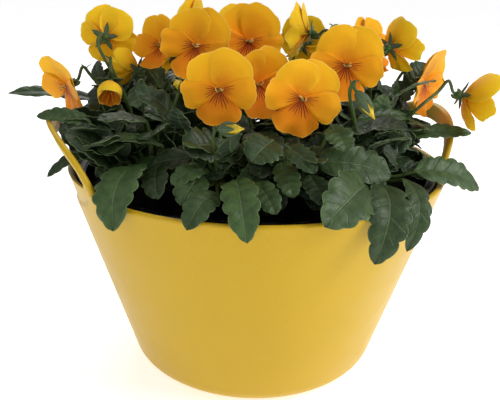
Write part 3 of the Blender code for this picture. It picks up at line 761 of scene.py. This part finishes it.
def slot_cutter(side):
    """A spool that cuts one hand slot and rounds its edges on both faces of the wall."""
    depths = [(-CUTTER_REACH, WALL / 2)]
    for share in steps(6):
        turn = math.pi * share
        depths.append((WALL / 2 * (1 - math.cos(turn)), WALL / 2 * (1 - math.sin(turn))))
    depths.append((WALL + CUTTER_REACH, WALL / 2))
    work = Patchwork([])
    loops = []
    for depth, spread in depths:
        loop = []
        for along, height in slot_loop(spread):
            reach = outer_radius(height) - depth
            loop.append(work.put(around(side * reach, along / RIM_RADIUS, height)))
        loops.append(loop)
    count = len(loops[0])
    for low, high in zip(loops, loops[1:]):
        for j in range(count):
            k = (j + 1) % count
            work.face((low[j], high[j], high[k], low[k]), 0)
    work.face(loops[0], 0)
    work.face(reversed(loops[-1]), 0)
    mesh = bpy.data.meshes.new("slot_cutter")
    mesh.from_pydata(work.points, [], work.faces)
    return add_object("slot_cutter", mesh)


def make_planter():
    work = Patchwork([planter_plastic()])
    columns = [planter_column(angle) for angle in planter_angles()]
    rings = []
    for rows in zip(*columns):
        rings.append([around(radius, angle, height) for angle, radius, height in rows])
    work.skin((0, 0, 0), rings, (0, 0, FLOOR))
    planter = work.finish("planter_bowl", ["planter"], "planter_plastic", 40)
    for side in (-1, 1):
        cutter = slot_cutter(side)
        change = planter.modifiers.new("slot", "BOOLEAN")
        change.operation = "DIFFERENCE"
        change.solver = "EXACT"
        change.object = cutter
        bpy.context.view_layer.objects.active = planter
        bpy.ops.object.modifier_apply(modifier=change.name)
        bpy.data.objects.remove(cutter, do_unlink=True)
    planter.data.shade_smooth()
    planter.data.set_sharp_from_angle(angle=math.radians(40))


# ---------------------------------------------------------------- grow pot, soil and crowns


def pot_outer(height):
    return inner_radius(height) - POT_CLEARANCE


def soil_height(radius):
    return SOIL_EDGE_HEIGHT + SOIL_MOUND * (1 - (radius / SOIL_RADIUS) ** 2)


def turned(radius, height, segments):
    return [around(radius, math.tau * i / segments, height) for i in range(segments)]


def make_grow_pot():
    """The thin black pot: a rolled lip, a short collar below it and the plain wall."""
    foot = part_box("grow_pot")[0].z
    under = POT_LIP_TOP - 0.0025
    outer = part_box("grow_pot")[1].x
    profile = [(0, foot), (pot_outer(foot) - 0.010, foot)]
    profile += [(pot_outer(foot + 0.012), foot + 0.012), (pot_outer(0.06), 0.06)]
    profile += [(pot_outer(under) - 0.0002, under), (outer - 0.0006, under)]
    for share in steps(8):
        turn = math.radians(-60 + 150 * share)
        across = outer + LIP_RADIUS * (math.cos(turn) - 1)
        profile.append((across, POT_LIP_TOP + LIP_RISE * (math.sin(turn) - 1)))
    profile += [(outer - 0.0045, POT_LIP_TOP - 0.0001), (outer - 0.0056, POT_LIP_TOP - 0.0006)]
    profile += [(outer - 0.0062, POT_LIP_TOP - 0.0016), (outer - 0.0066, POT_LIP_TOP - 0.0032)]
    for height in (under - 0.004, 0.11, 0.08, 0.05, foot + 0.014):
        profile.append((pot_outer(height) - POT_WALL, height))
    profile += [(pot_outer(foot) - 0.011, foot + POT_WALL * 1.2), (0, foot + POT_WALL * 1.2)]
    work = Patchwork([pot_plastic()])
    rings = [turned(radius, height, 144) for radius, height in profile[1:-1]]
    work.skin((0, 0, profile[0][1]), rings, (0, 0, profile[-1][1]))
    work.finish("grow_pot_shell", ["grow_pot"], "pot_plastic", 60)


def make_soil():
    """Crumbly soil: a mounded bed with lumps, and loose crumbs and bark bits on it."""
    draw = random.Random(21)
    low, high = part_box("potting_soil")
    edge = high.x - 0.0006
    work = Patchwork([soil_matter()])
    segments = 120
    rings = [turned(pot_outer(FLOOR) - 0.015, low.z, segments)]
    rings.append(turned(pot_outer(0.03) - 0.0034, 0.03, segments))
    for share in steps(46)[:-1]:
        radius = edge * (1 - share)
        ring = []
        for x, y, height in turned(radius, soil_height(radius) - SOIL_DIP, segments):
            lump = noise.fractal(Vector((x, y, 0)) * 160, 0.8, 2.1, 4) * 0.0013
            ring.append((x, y, height + max(lump, -2 * SOIL_DIP)))
        rings.append(ring)
    work.skin((0, 0, low.z), rings, (0, 0, soil_height(0)))
    for i in range(CRUMBS):
        radius = edge * math.sqrt(draw.random()) * 0.98
        angle = draw.uniform(0, 360)
        size = draw.uniform(0.0007, 0.0022)
        spot = polar(angle, radius / MM, 0)
        spot.z = soil_height(radius) + size * 0.3
        along = facing_of(draw.uniform(0, 360), draw.uniform(-30, 30)) * size
        path = [spot - along, spot - along * 0.4, spot + along * 0.5, spot + along]
        work.pipe(path, [size * 0.35, size * 0.75, size * 0.65, size * 0.2], 5, 0)
    work.finish("soil_bed", ["potting_soil"], "soil", 70)


def crown_centre(plant):
    middle = polar(FIRST_PLANT_ANGLE + plant * PLANT_ANGLE, PLANT_RING / MM, 0)
    middle.z = soil_height(PLANT_RING) + 0.001
    return middle


def make_crown(plant, bark):
    """The short knobbly crown where the shoots leave the soil, with the root ball below it."""
    node = f"viola_{plant + 1}_crown"
    low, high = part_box(node)
    middle = crown_centre(plant)
    draw = random.Random(50 + plant)
    work = Patchwork([bark])
    wide = (high.x - low.x) / 2
    heights = [low.z, low.z + 0.001, low.z + 0.012, low.z + 0.026, middle.z - 0.0012, middle.z]
    radii = [wide * share for share in (0.6, 0.84, 0.93, 0.97, 0.8)] + [CROWN_RADIUS * 1.1]
    for i in range(1, 5):
        turn = math.radians(i * 22)
        heights.append(middle.z + CROWN_RADIUS * math.sin(turn))
        radii.append(CROWN_RADIUS * math.cos(turn))
    path = [Vector((middle.x, middle.y, height)) for height in heights]
    work.pipe(path, radii, 20, 0, lobes=5, depth=0.06, twist=3.0)
    for i in range(CROWN_KNOBS):
        turn = 360 / CROWN_KNOBS * i + draw.uniform(-12, 12)
        out = facing_of(turn, draw.uniform(15, 70))
        start = middle + out * CROWN_RADIUS * 0.6
        path = [start, start + out * 0.0025, start + out * 0.0042 + upward(0.001)]
        work.pipe(path, [0.0016, 0.0013, 0.0007], 6, 0)
    work.finish(f"viola_{plant + 1}_root_crown", [node], "root_ball", 60)


# ---------------------------------------------------------------- leaves


LEAF_STATIONS = 48
LEAF_COLUMNS = 12
SMALL_STATIONS, SMALL_COLUMNS = 30, 8
LEAF_THICKNESS = 0.0004
LEAF_LEAN = 0.8
LEAF_ROLL = 0.8
LEAF_FOLD = 0.24
HALF_WIDTH_SHARE = 0.44
LEAF_VEINS = 6
TOOTH_DEPTH = 0.24
STRIP_COLUMNS = 4
UPPER, UNDER, STEM = 0, 1, 2
LEAF_SIDES = (UPPER, UNDER)


def leaf_curve(base, tip, arch):
    """The blade's spine as a function from 0 to 1, and the blade's sideways vector."""
    chord = tip - base
    middle = base + tip
    outward = Vector((middle.x, middle.y, 0)).normalized()
    side = chord.cross(upward(1) + outward * LEAF_LEAN)
    if side.length < 0.3 * chord.length:
        side = Vector((-base.y, base.x, 0))
    side = (side - chord * side.dot(chord) / chord.length_squared).normalized()
    lift = side.cross(chord).normalized() * chord.length * arch
    knee = (base + tip) / 2 + lift

    return lambda s: bow(base, knee, tip, s), side


def leaf_outline(s, teeth, shift):
    """Half the blade's width at a place along it, as a share, with rounded teeth."""
    plain = (1 - abs(2 * s**0.95 - 1) ** 2.3) ** 0.60
    beat = (s * teeth + shift) % 1.0
    tooth = math.sin(math.pi * beat**1.4) ** 0.45
    depth = TOOTH_DEPTH * smoothstep(0.10, 0.30, s) * (1 - 0.6 * smoothstep(0.85, 1.0, s))
    return max(plain * (1 - depth * (1 - tooth)), 0.03)


def blade(work, spine, side, half, draw, shade, stations=LEAF_STATIONS, columns=LEAF_COLUMNS):
    """A crenate blade that is grooved along its midrib and puffed between its side veins."""
    teeth = draw.choice((5, 5.5, 6))
    shifts = (draw.random(), draw.random())
    wave = draw.uniform(0, math.tau)
    ripple = draw.uniform(0.03, 0.09)
    tilt = draw.uniform(-0.12, 0.12)

    def row_at(s):
        along = spine(min(s + 0.02, 1.0)) - spine(max(s - 0.02, 0.0))
        up = side.cross(along).normalized()
        across = along.cross(up).normalized()

        def point_at(t):
            wide = half * leaf_outline(s, teeth, shifts[t > 0])
            off = abs(t)
            rise = LEAF_FOLD * wide * off**1.4 - 0.16 * wide * off**4 + tilt * wide * t
            swell = math.sin(math.tau * 2.4 * s + wave + (2 if t > 0 else 0))
            rise += half * ripple * off * off * swell
            vein = (s * LEAF_VEINS - off * 0.85) % 1.0
            rise += 0.00045 * math.sin(math.pi * vein) * smoothstep(0.05, 0.3, off) * (1 - off**3)
            return spine(s) + across * (t * wide) + up * rise

        return point_at

    work.sheet(steps(stations), columns, row_at, LEAF_SIDES, shade, LEAF_THICKNESS)


def leaf(work, hub, row, draw):
    """A large leaf on its petiole; the shown ones roll their faces to the best side."""
    base = polar(*row[0:3])
    tip = polar(*row[3:6])
    spine, side = leaf_curve(base, tip, row[7])
    if row in SHOWN_LEAVES:
        face = side.cross(tip - base).normalized() + facing_of(*BEST_SIDE) * LEAF_ROLL
        side = (tip - base).cross(face).normalized()
    half = row[6] * MM * HALF_WIDTH_SHARE
    shade = min(max(draw.gauss(0.45, 0.25), 0.0), 1.0)
    blade(work, spine, side, half, draw, shade)
    bend = (hub * 0.45 + base * 0.55) - upward(0.004)
    inside = spine(0.16) - side.cross(spine(0.2) - spine(0.1)).normalized() * 0.0009
    path = smooth_path([hub, bend, base - upward(0.0006), inside], 5)
    work.pipe(path, [0.00125 - 0.0005 * s for s in steps(len(path) - 1)], 7, STEM, shade)


def stipule(work, place, out, length, draw):
    """A small lobed leaf at a leaf's or a stalk's foot."""
    tip = place + out * length + upward(length * 0.35)
    spine, side = leaf_curve(place, tip, 0.2)

    def row_at(s):
        along = spine(min(s + 0.05, 1.0)) - spine(max(s - 0.05, 0.0))
        up = side.cross(along).normalized()
        lobed = 0.75 + 0.25 * math.cos(s * math.tau * 2.5)
        wide = length * 0.17 * max(math.sin(math.pi * min(s + 0.08, 0.98)), 0.04) * lobed
        return lambda t: spine(s) + side * (wide * t) + up * (wide * 0.3 * abs(t))

    work.sheet(steps(8), STRIP_COLUMNS, row_at, LEAF_SIDES, draw.uniform(0.4, 0.9), LEAF_THICKNESS)


# ---------------------------------------------------------------- which leaf and stalk goes where


def cell_of(angle, radius):
    """The cell that a point lies in: the outer ones of each plant are a and b, the inner is c."""
    turned_angle = (angle - FIRST_PLANT_ANGLE + CELL_ANGLE) % 360
    plant = int(turned_angle // PLANT_ANGLE)
    if radius * MM < CELL_SPLIT_RADIUS:
        return plant, "c"
    return plant, "a" if turned_angle % PLANT_ANGLE < CELL_ANGLE else "b"


def cell_centre(plant, part):
    middle = FIRST_PLANT_ANGLE + plant * PLANT_ANGLE
    if part == "c":
        return middle
    return middle + (-CELL_ANGLE / 2 if part == "a" else CELL_ANGLE / 2)


def hub_of(plant, part):
    radius, height = INNER_HUB if part == "c" else OUTER_HUB
    return polar(cell_centre(plant, part), radius, height)


def along_leaf(base, tip, shares):
    return [base.lerp(tip, share) for share in shares]


def before_another(point):
    """Whether a point stands before a flower or a larger leaf, seen from the planting's best side."""
    for row in BLOOMS[:BEST_SIDE_BLOOMS]:
        if stands_before(point, polar(*row[0:3]), (row[6] / 2 + 1) * MM):
            return True
    for row in SHOWN_LEAVES:
        reach = (row[6] / 2 + SHOWN_LEAF_MARGIN) * MM
        places = along_leaf(polar(*row[0:3]), polar(*row[3:6]), (0.2, 0.5, 0.8))
        if any(stands_before(point, place, reach) for place in places):
            return True
    return False


def stands_before(point, place, reach):
    """Whether a point hides a place from the best side, or lies within a reach of hiding it."""
    away = point - place
    front = facing_of(*BEST_SIDE)
    depth = away.dot(front)
    least, most = BEST_SIDE_DEPTH
    return least < depth < most and (away - front * depth).length < reach


def near_bloom(point):
    """Whether a leaf at this point would touch a bloom or a bud."""
    behind, before = BLOOM_SPACE
    for row in BLOOMS:
        away = point - polar(*row[0:3])
        near = away.length < (row[6] / 2 + BLOOM_MARGIN) * MM
        if near and behind < away.dot(facing_of(row[3], row[4])) < before:
            return True
    return any((point - polar(*row[0:3])).length < BUD_SPACE for row in BUDS)


def fill_leaves():
    """Leaves by rule for the parts of the bowl that the shown leaves don't fill."""
    draw = random.Random(FILL_SEED)
    rows = []
    cells = [(plant, part) for plant in range(PLANTS) for part in "ab"]
    wanted = [(cell, count) for cell, count in zip(cells, FILL_OUTER)]
    wanted += [((plant, "c"), FILL_INNER) for plant in range(PLANTS)]
    for (plant, part), count in wanted:
        made = 0
        for attempt in range(FILL_TRIES):
            if made == count:
                break
            row = fill_leaf(draw, plant, part, made)
            if any(map(near_bloom, along_leaf(polar(*row[0:3]), polar(*row[3:6]), LEAF_POINTS))):
                continue
            rows.append(row)
            made += 1
    return rows


def fill_leaf(draw, plant, part, made):
    """A leaf's row, in the same order as the shown leaves' rows."""
    middle = cell_centre(plant, part)
    turn, length, rise, radius, height = INNER_RANGES if part == "c" else OUTER_RANGES
    if part != "c" and made % 2 == 0:
        rise = RISING_RANGE
    angle = middle + draw.uniform(*turn)
    length = draw.uniform(*length)
    rise = math.radians(draw.uniform(*rise))
    radius = draw.uniform(*radius)
    height = draw.uniform(*height)
    if part != "c":
        height += FILL_STEP * (made % 3)
    swing = draw.uniform(-5, 5)
    tip_radius = radius + length * math.cos(rise)
    tip_height = height + length * math.sin(rise)
    beside_ear = abs(math.remainder(angle, 180)) < EAR_ZONE
    if beside_ear and tip_height < EAR_ZONE_TOP:
        tip_radius = min(tip_radius, EAR_ZONE_REACH)
    width = length * draw.uniform(0.5, 0.68)
    return (angle, radius, height, angle + swing, tip_radius, tip_height, width, FILL_ARCH)


def stalk_path(hub, seat, facing, bend, size):
    """A flower stalk: up from the hub, over in a hook, and into the back of the flower."""
    flat = Vector((facing.x, facing.y, 0)).normalized()
    nod = max(0, -facing.z)
    hook = seat - facing * (0.007 * size) + upward((0.003 + 0.007 * nod) * size)
    neck = hook - flat * (0.006 * size) - upward(0.007)
    rise = hub.lerp(neck, 0.5)
    rise.z = hub.z + (neck.z - hub.z) * 0.6
    return [hub, bend or rise, neck, hook, seat - facing * 0.003, seat]


def undergrowth(work, plant, part, hub, draw):
    """Smaller leaves low in the plant, which close the bowl between the larger ones."""
    middle = cell_centre(plant, part)
    beside_ear = part != "c" and abs(math.remainder(middle, 180)) < EAR_CELL_REACH
    count = UNDERGROWTH + (EAR_UNDERGROWTH if beside_ear else 0)
    spread, radii = INNER_PATCH if part == "c" else OUTER_PATCH
    space = WALL_SPACE if beside_ear else PLAIN_WALL_SPACE
    made = 0
    for attempt in range(count * UNDERGROWTH_TRIES):
        if made == count:
            break
        angle = middle + draw.uniform(-spread, spread)
        radius = draw.uniform(*radii)
        large = beside_ear and made % 2
        if large:
            angle = middle + draw.uniform(-spread, spread)
            radius = draw.uniform(*EAR_PATCH)
        height = draw.uniform(*UNDERGROWTH_BASE) + draw.random() ** 1.6 * UNDERGROWTH_CLIMB
        length = draw.uniform(*UNDERGROWTH_LENGTH)
        heading = angle + draw.uniform(-UNDERGROWTH_SWING, UNDERGROWTH_SWING)
        if large:
            length = draw.uniform(*EAR_LEAF_LENGTH)
            heading = angle + draw.uniform(-EAR_LEAF_SWING, EAR_LEAF_SWING)
        base = polar(angle, radius, height)
        tip = base + facing_of(heading, draw.uniform(*UNDERGROWTH_RISE)) * (length * MM)
        beyond = max(math.hypot(end.x, end.y) - inner_radius(end.z) for end in (base, tip))
        if tip.z > UNDERGROWTH_TOP or beyond > -space:
            continue
        if any(near_bloom(p) or before_another(p) for p in along_leaf(base, tip, (0, *LEAF_POINTS))):
            continue
        small_leaf(work, hub, base, tip, draw)
        made += 1
    if part != "c" and abs(math.remainder(middle - 180, 360)) < LEFT_EAR_REACH:
        fill_left_ear(work, hub, draw)


def fill_left_ear(work, hub, draw):
    """Leaves that stand up against the inside of the left ear."""
    for i in range(EAR_FILL):
        angle = EAR_FILL_START + EAR_FILL_SPAN * (i + draw.random()) / EAR_FILL
        base = polar(angle, *(draw.uniform(*ends) for ends in EAR_FILL_FOOT))
        top = draw.uniform(*EAR_FILL_TOP)
        reach = inner_radius(top * MM) / MM - draw.uniform(*EAR_FILL_SPACE)
        tip = polar(angle + draw.uniform(-EAR_FILL_SWING, EAR_FILL_SWING), reach, top)
        if not any(map(near_bloom, along_leaf(base, tip, LEAF_POINTS))):
            small_leaf(work, hub, base, tip, draw)


def small_leaf(work, hub, base, tip, draw):
    """A leaf of the undergrowth, on a thin petiole; its darker tone is painted shade, for the shadow
    deep among the larger leaves.
    """
    spine, side = leaf_curve(base, tip, draw.uniform(0.12, 0.35))
    # Painted shade: a low shade number darkens these leaves, as the shadow under the larger leaves.
    shade = min(max(draw.gauss(0.15, 0.2), 0.0), 1.0)
    half = (tip - base).length * draw.uniform(0.29, 0.40)
    blade(work, spine, side, half, draw, shade, SMALL_STATIONS, SMALL_COLUMNS)
    low = hub.lerp(Vector((base.x, base.y, hub.z)), 0.5) - upward(0.003)
    path = smooth_path([hub, low, base - upward(0.0006), spine(0.2)], 4)
    work.pipe(path, [0.0009 - 0.0003 * s for s in steps(len(path) - 1)], 5, STEM, 0.4)


def make_shoot(plant, part, leaves, stalks, finishes):
    """The stem, leaves and flower stalks of one shoot."""
    node = f"viola_{plant + 1}_shoot_{part}"
    draw = random.Random(100 + plant * 3 + "abc".index(part))
    hub = hub_of(plant, part)
    crown = crown_centre(plant)
    start = crown + (hub - crown).normalized() * (CROWN_RADIUS + 0.0003)
    work = Patchwork(finishes)
    stem = smooth_path([start, start.lerp(hub, 0.5) + upward(0.0005), hub + upward(0.0015)], 5)
    work.pipe(stem, [0.0021 - 0.0004 * s for s in steps(10)], 9, STEM, 0.4, 5, 0.08, 2.0)
    for row in leaves:
        leaf(work, hub, row, draw)
    undergrowth(work, plant, part, hub, draw)
    for seat, facing, bend, size in stalks:
        path = smooth_path(stalk_path(hub, seat, facing, bend, size), 7)
        last = len(path) - 1
        radii = [0.0011 - 0.0002 * i / last for i in range(last)] + [0.0013]
        work.pipe(path, radii, 8, STEM, 0.7)
        place = path[len(path) // 2]
        for k in range(2):
            stipule(work, place, facing_of(draw.uniform(0, 360), 20), 0.004, draw)
    for k in range(6):
        out = facing_of(k * 60 + draw.uniform(-20, 20), draw.uniform(5, 50))
        stipule(work, hub + out * 0.001, out, draw.uniform(0.009, 0.014), draw)
    work.finish(f"viola_{plant + 1}_leaves_{part}", [node], "foliage", 80)


# ---------------------------------------------------------------- blooms and buds


PETALS = (
    # axis, length, spread, bluntness power, roundness power, layer, kind
    (122, 1.02, 80, 1.45, 0.80, -0.0016, 0),
    (60, 1.05, 80, 1.45, 0.80, -0.0010, 0),
    (187, 0.98, 41, 2.1, 0.50, 0.0004, 1),
    (-7, 0.98, 41, 2.1, 0.50, 0.0004, 1),
    (270, 0.97, 52, 4.5, 0.30, -0.0002, 2),
)
BELL_CUP = 0.9
BELL_SHAPE = (66, 2.6, 0.22)
PETAL_FINISHES = (
    # name, colours at the throat, in the body and at the rim, and the lines: count, reach, strength
    ("petal_upper", (0.72, 0.200, 0.004), (0.90, 0.335, 0.006), (0.93, 0.46, 0.012), 0, 0, 0),
    ("petal_side", (0.68, 0.150, 0.003), (0.89, 0.285, 0.005), (0.92, 0.38, 0.010), 7, 0.42, 0.85),
    ("petal_lower", (0.64, 0.100, 0.003), (0.87, 0.220, 0.005), (0.91, 0.29, 0.008), 9, 0.55, 0.95),
    ("petal_back", (0.80, 0.330, 0.006), (0.92, 0.460, 0.009), (0.95, 0.58, 0.018), 0, 0, 0),
)
PETAL_ROWS = 12
PETAL_COLUMNS = 22
PETAL_THICKNESS = 0.0003
BEARD, STYLE, PETAL_BACK = 3, 4, 5
BEARD_TUFTS = 7
SEPAL_THICKNESS = LEAF_THICKNESS * 0.8


def petal_plate(work, matrix, shape, half, cup, draw, shade):
    """One petal; those of a half-open bell are broad and plain."""
    axis, length, spread, blunt, roundness, layer, kind = shape
    if cup > BELL_CUP:
        spread, blunt, roundness = BELL_SHAPE
    length *= half * draw.uniform(0.97, 1.03)
    axis = math.radians(axis + draw.uniform(-4, 4))
    spread = math.radians(spread)
    wave = draw.uniform(0, math.tau)
    ruffle = draw.uniform(0.0006, 0.0012) * (1.5 if kind == 2 else 1.0)
    beats = draw.choice((2.0, 2.5, 3.0)) * (1.0 if kind else 0.8)
    lean = math.radians(draw.uniform(-4, 6))
    arch = (0.10, 0.16, 0.13)[kind]
    if cup > BELL_CUP:
        ruffle, arch, lean = 0.0002, 0.0, 0.0

    def row_at(s):
        def point_at(t):
            outline = max(math.cos(math.pi / 2 * abs(t) ** blunt), 0.0001) ** roundness
            crinkle = 0.018 * math.sin(t * 9 + wave) + 0.010 * math.sin(t * 23 + wave * 2)
            away = length * (0.10 + 0.90 * outline) * (1 + crinkle * s) * s
            climb = cup * s + lean
            flat = away * math.cos(climb)
            lift = away * math.sin(climb) + layer - arch * half * s * s * (t * t) * 0.9
            lift += ruffle * s**3 * math.sin(beats * math.pi * t + wave)
            lift -= 0.05 * half * smoothstep(0.7, 1.0, s)
            return matrix @ Vector(around(flat, axis - t * spread, lift))

        return point_at

    stations = [0.04 + 0.96 * share**0.9 for share in steps(PETAL_ROWS)]
    work.sheet(stations, PETAL_COLUMNS, row_at, (kind, PETAL_BACK), shade, PETAL_THICKNESS)


def make_bloom(number, row, finishes, greens):
    node = f"bloom_{number:02d}"
    draw = random.Random(300 + number)
    half = row[6] * MM / 2
    cup = math.radians(row[7])
    matrix = facing_frame(polar(*row[0:3]), *row[3:6])
    work = Patchwork(finishes)
    shade = draw.uniform(0.0, 0.8)
    for shape in PETALS:
        petal_plate(work, matrix, shape, half, cup, draw, shade)
    for side in (-1, 1):
        for k in range(BEARD_TUFTS):
            root = Vector((side * draw.uniform(0.0012, 0.0026), draw.uniform(-0.0006, 0.0014), 0.0006))
            lean = (-side * draw.uniform(0.0004, 0.0012), draw.uniform(-0.0012, 0.0006), 0.0018)
            tip = root + Vector(lean)
            path = [matrix @ root, matrix @ root.lerp(tip, 0.5), matrix @ tip]
            work.pipe(path, [0.00022, 0.00018, 0.0001], 4, BEARD)
    style = [matrix @ Vector((0, -0.0006, z)) for z in (-0.001, 0.0004, 0.0012, 0.0017, 0.0020)]
    work.pipe(style, [0.0005, 0.0006, 0.0009, 0.0007, 0.0003], 9, STYLE)
    work.finish(f"{node}_petals", [node], "petals", 80)
    calyx(f"{node}_calyx", node, matrix, greens, draw)


def calyx(name, node, matrix, greens, draw):
    """Five narrow sepals behind a flower, their little ears, and the spur."""
    work = Patchwork(greens)
    base = upward(-0.0052)
    for k in range(5):
        out = facing_of(90 + 72 * k + draw.uniform(-6, 6), 0)
        length = draw.uniform(0.0080, 0.0102)
        knee = base + out * length * 0.55 + upward(0.0012)
        tip = base + out * length + upward(draw.uniform(0.0004, 0.0026))
        sepal(work, matrix, base + out * 0.0006, knee, tip, 0.0017)
        back = base + out * 0.0018 - upward(0.0030)
        sepal(work, matrix, base + out * 0.0004, base + out * 0.0016 - upward(0.0014), back, 0.0013)
    stem_end = [matrix @ upward(z) for z in (-0.0078, -0.0070, -0.0058, -0.0046, -0.0030, -0.0020)]
    work.pipe(stem_end, [0.0012, 0.0019, 0.0023, 0.0022, 0.0018, 0.0012], 10, STEM)
    spur = ((-0.0015, -0.0040), (-0.0024, -0.0066), (-0.0024, -0.0088), (-0.0020, -0.0103))
    path = [matrix @ Vector((0, y, z)) for y, z in spur]
    work.pipe(path, [0.0014, 0.0013, 0.0012, 0.0006], 9, STEM)
    work.finish(name, [node], "foliage", 80)


def sepal(work, matrix, base, knee, tip, half):
    side = (tip - base).normalized().cross(upward(1)).normalized()

    def row_at(s):
        place = bow(base, knee, tip, s)
        wide = half * max(1 - s**2.4, 0.05) * (0.8 + 0.4 * s)
        return lambda t: matrix @ (place + side * wide * t + upward(wide * 0.35 * abs(t)))

    work.sheet(steps(7), STRIP_COLUMNS, row_at, LEAF_SIDES, 0.5, SEPAL_THICKNESS)


def make_bud(number, row, finishes, greens):
    """A closed bud: rolled yellow petals that twist out of five hugging sepals."""
    node = f"bud_{number}"
    draw = random.Random(500 + number)
    matrix = facing_frame(seat_of(row, BUD_LENGTH / 2)[0], row[3], row[4], draw.uniform(-40, 40))
    work = Patchwork(finishes)
    path = [matrix @ upward(BUD_LENGTH * (0.06 + 0.94 * s)) for s in steps(14)]
    shares = [math.sin(math.pi * (0.12 + 0.86 * s) ** 0.8) for s in steps(14)]
    radii = [BUD_RADIUS * 0.80 * max(wide, 0.12) for wide in shares]
    work.pipe(path, radii, 24, 0, 0.5, 5, 0.13, 4.2)
    work.finish(f"{node}_petals", [node], "buds", 80)
    work = Patchwork(greens)
    for k in range(5):
        side = facing_of(72 * k + 20, 0)
        start = side * BUD_RADIUS * 0.25 + upward(0.0002)
        knee = side * BUD_RADIUS * 1.55 + upward(0.0050)
        tip = side * BUD_RADIUS * 0.72 + upward(BUD_LENGTH * draw.uniform(0.66, 0.80))
        hugging(work, matrix, start, knee, tip, side, 0.0022)
    cup = [matrix @ upward(z) for z in (-0.0002, 0.0008, 0.0022, 0.0040)]
    work.pipe(cup, [0.0012, 0.0019, 0.0021, 0.0016], 10, STEM)
    work.finish(f"{node}_sepals", [node], "foliage", 80)


def hugging(work, matrix, base, knee, tip, side, half):
    """A sepal that lies round a bud."""
    across = side.cross(upward(1))

    def row_at(s):
        place = bow(base, knee, tip, s)
        wide = half * max(math.sin(math.pi * (0.25 + 0.75 * s)), 0.03) ** 0.8
        return lambda t: matrix @ (place + across * wide * t - side * wide * 0.45 * t * t)

    work.sheet(steps(8), STRIP_COLUMNS, row_at, LEAF_SIDES, 0.6, SEPAL_THICKNESS)


def seat_of(row, depth):
    """Where a stalk enters the back of a bloom or bud, and the way that the flower looks."""
    out = facing_of(row[3], row[4])
    return polar(*row[0:3]) - out * depth, out


def plant_everything():
    greens = [leaf_upper(), leaf_under(), stem_green()]
    bark = root_matter()
    parts = [petal(*row) for row in PETAL_FINISHES]
    parts.insert(BEARD, yellow_tissue("beard", (0.84, 0.52, 0.10), (0.92, 0.66, 0.22)))
    parts.insert(STYLE, yellow_tissue("style", (0.12, 0.11, 0.02), (0.34, 0.30, 0.06)))
    rolled = yellow_tissue("rolled_petals", (0.62, 0.42, 0.02), (0.80, 0.60, 0.05))
    leaves = {}
    stalks = {}
    for row in list(SHOWN_LEAVES) + fill_leaves():
        leaves.setdefault(cell_of(row[0], row[1]), []).append(row)
    for number, row in enumerate(BLOOMS, 1):
        bend = STALK_BENDS.get(number)
        stalk = (*seat_of(row, BLOOM_DEPTH), polar(*bend) if bend else None, 1)
        stalks.setdefault(cell_of(row[0], row[1]), []).append(stalk)
    for row in BUDS:
        stalk = (*seat_of(row, BUD_LENGTH / 2), None, BUD_HOOK)
        stalks.setdefault(cell_of(row[0], row[1]), []).append(stalk)
    for plant in range(PLANTS):
        make_crown(plant, bark)
        for part in "abc":
            cell = (plant, part)
            make_shoot(plant, part, leaves.get(cell, []), stalks.get(cell, []), greens)
    for number, row in enumerate(BLOOMS, 1):
        make_bloom(number, row, parts, greens)
    for number, row in enumerate(BUDS, 1):
        make_bud(number, row, [rolled], greens)


# ---------------------------------------------------------------- floor, light and camera


FLOOR_REACH = 20.0
FLOOR_GAP = 0.0002
WORLD_STRENGTH = 0.42
# Lamps: name, place, the height on the axis that it looks at, size, and power in watts.
LIGHTS = (
    ("key", (1.15, -0.80, 1.15), 0.12, 0.8, 17),
    ("fill", (-1.1, -0.9, 0.9), 0.10, 1.2, 1.5),
    ("back", (0.2, 1.3, 1.2), 0.15, 0.9, 8),
)


def make_floor():
    mesh = bpy.data.meshes.new("floor")
    corners = [(x * FLOOR_REACH, y * FLOOR_REACH, 0) for x, y in ((-1, -1), (1, -1), (1, 1), (-1, 1))]
    mesh.from_pydata(corners, [], [(0, 1, 2, 3)])
    mesh.materials.append(floor_matter())
    floor = add_object("floor", mesh)
    floor.location.z = -FLOOR_GAP


def area_light(name, place, height, size, power):
    """A square lamp that looks at a height on the planter's axis."""
    light = bpy.data.lights.new(name, "AREA")
    light.size = size
    light.energy = power
    lamp = add_object(name, light)
    lamp.location = place
    lamp.rotation_euler = (upward(height) - Vector(place)).to_track_quat("-Z", "Y").to_euler()


def light_scene():
    world = bpy.data.worlds.new("studio")
    world.use_nodes = True
    sky = world.node_tree.nodes["Background"]
    sky.inputs["Color"].default_value = (1, 1, 1, 1)
    sky.inputs["Strength"].default_value = WORLD_STRENGTH
    bpy.context.scene.world = world
    bpy.context.scene.view_settings.view_transform = "Standard"
    for row in LIGHTS:
        area_light(*row)


CAMERA_ANGLE = (-107, math.degrees(0.3341))
CAMERA_ROLL = math.degrees(0.0185)
CAMERA_DISTANCE = 0.435
CAMERA_LENS = 46.8
TARGET = Vector((-0.0034, 0.0010, 0.104))


def place_camera():
    lens = bpy.data.cameras.new("camera")
    lens.lens = CAMERA_LENS
    lens.sensor_width = 36
    lens.clip_start = 0.01
    camera = add_object("camera", lens)
    place = TARGET + facing_of(*CAMERA_ANGLE) * CAMERA_DISTANCE
    camera.matrix_world = facing_frame(place, *CAMERA_ANGLE, CAMERA_ROLL)
    bpy.context.scene.camera = camera


make_planter()
make_grow_pot()
make_soil()
plant_everything()
make_floor()
light_scene()
place_camera()
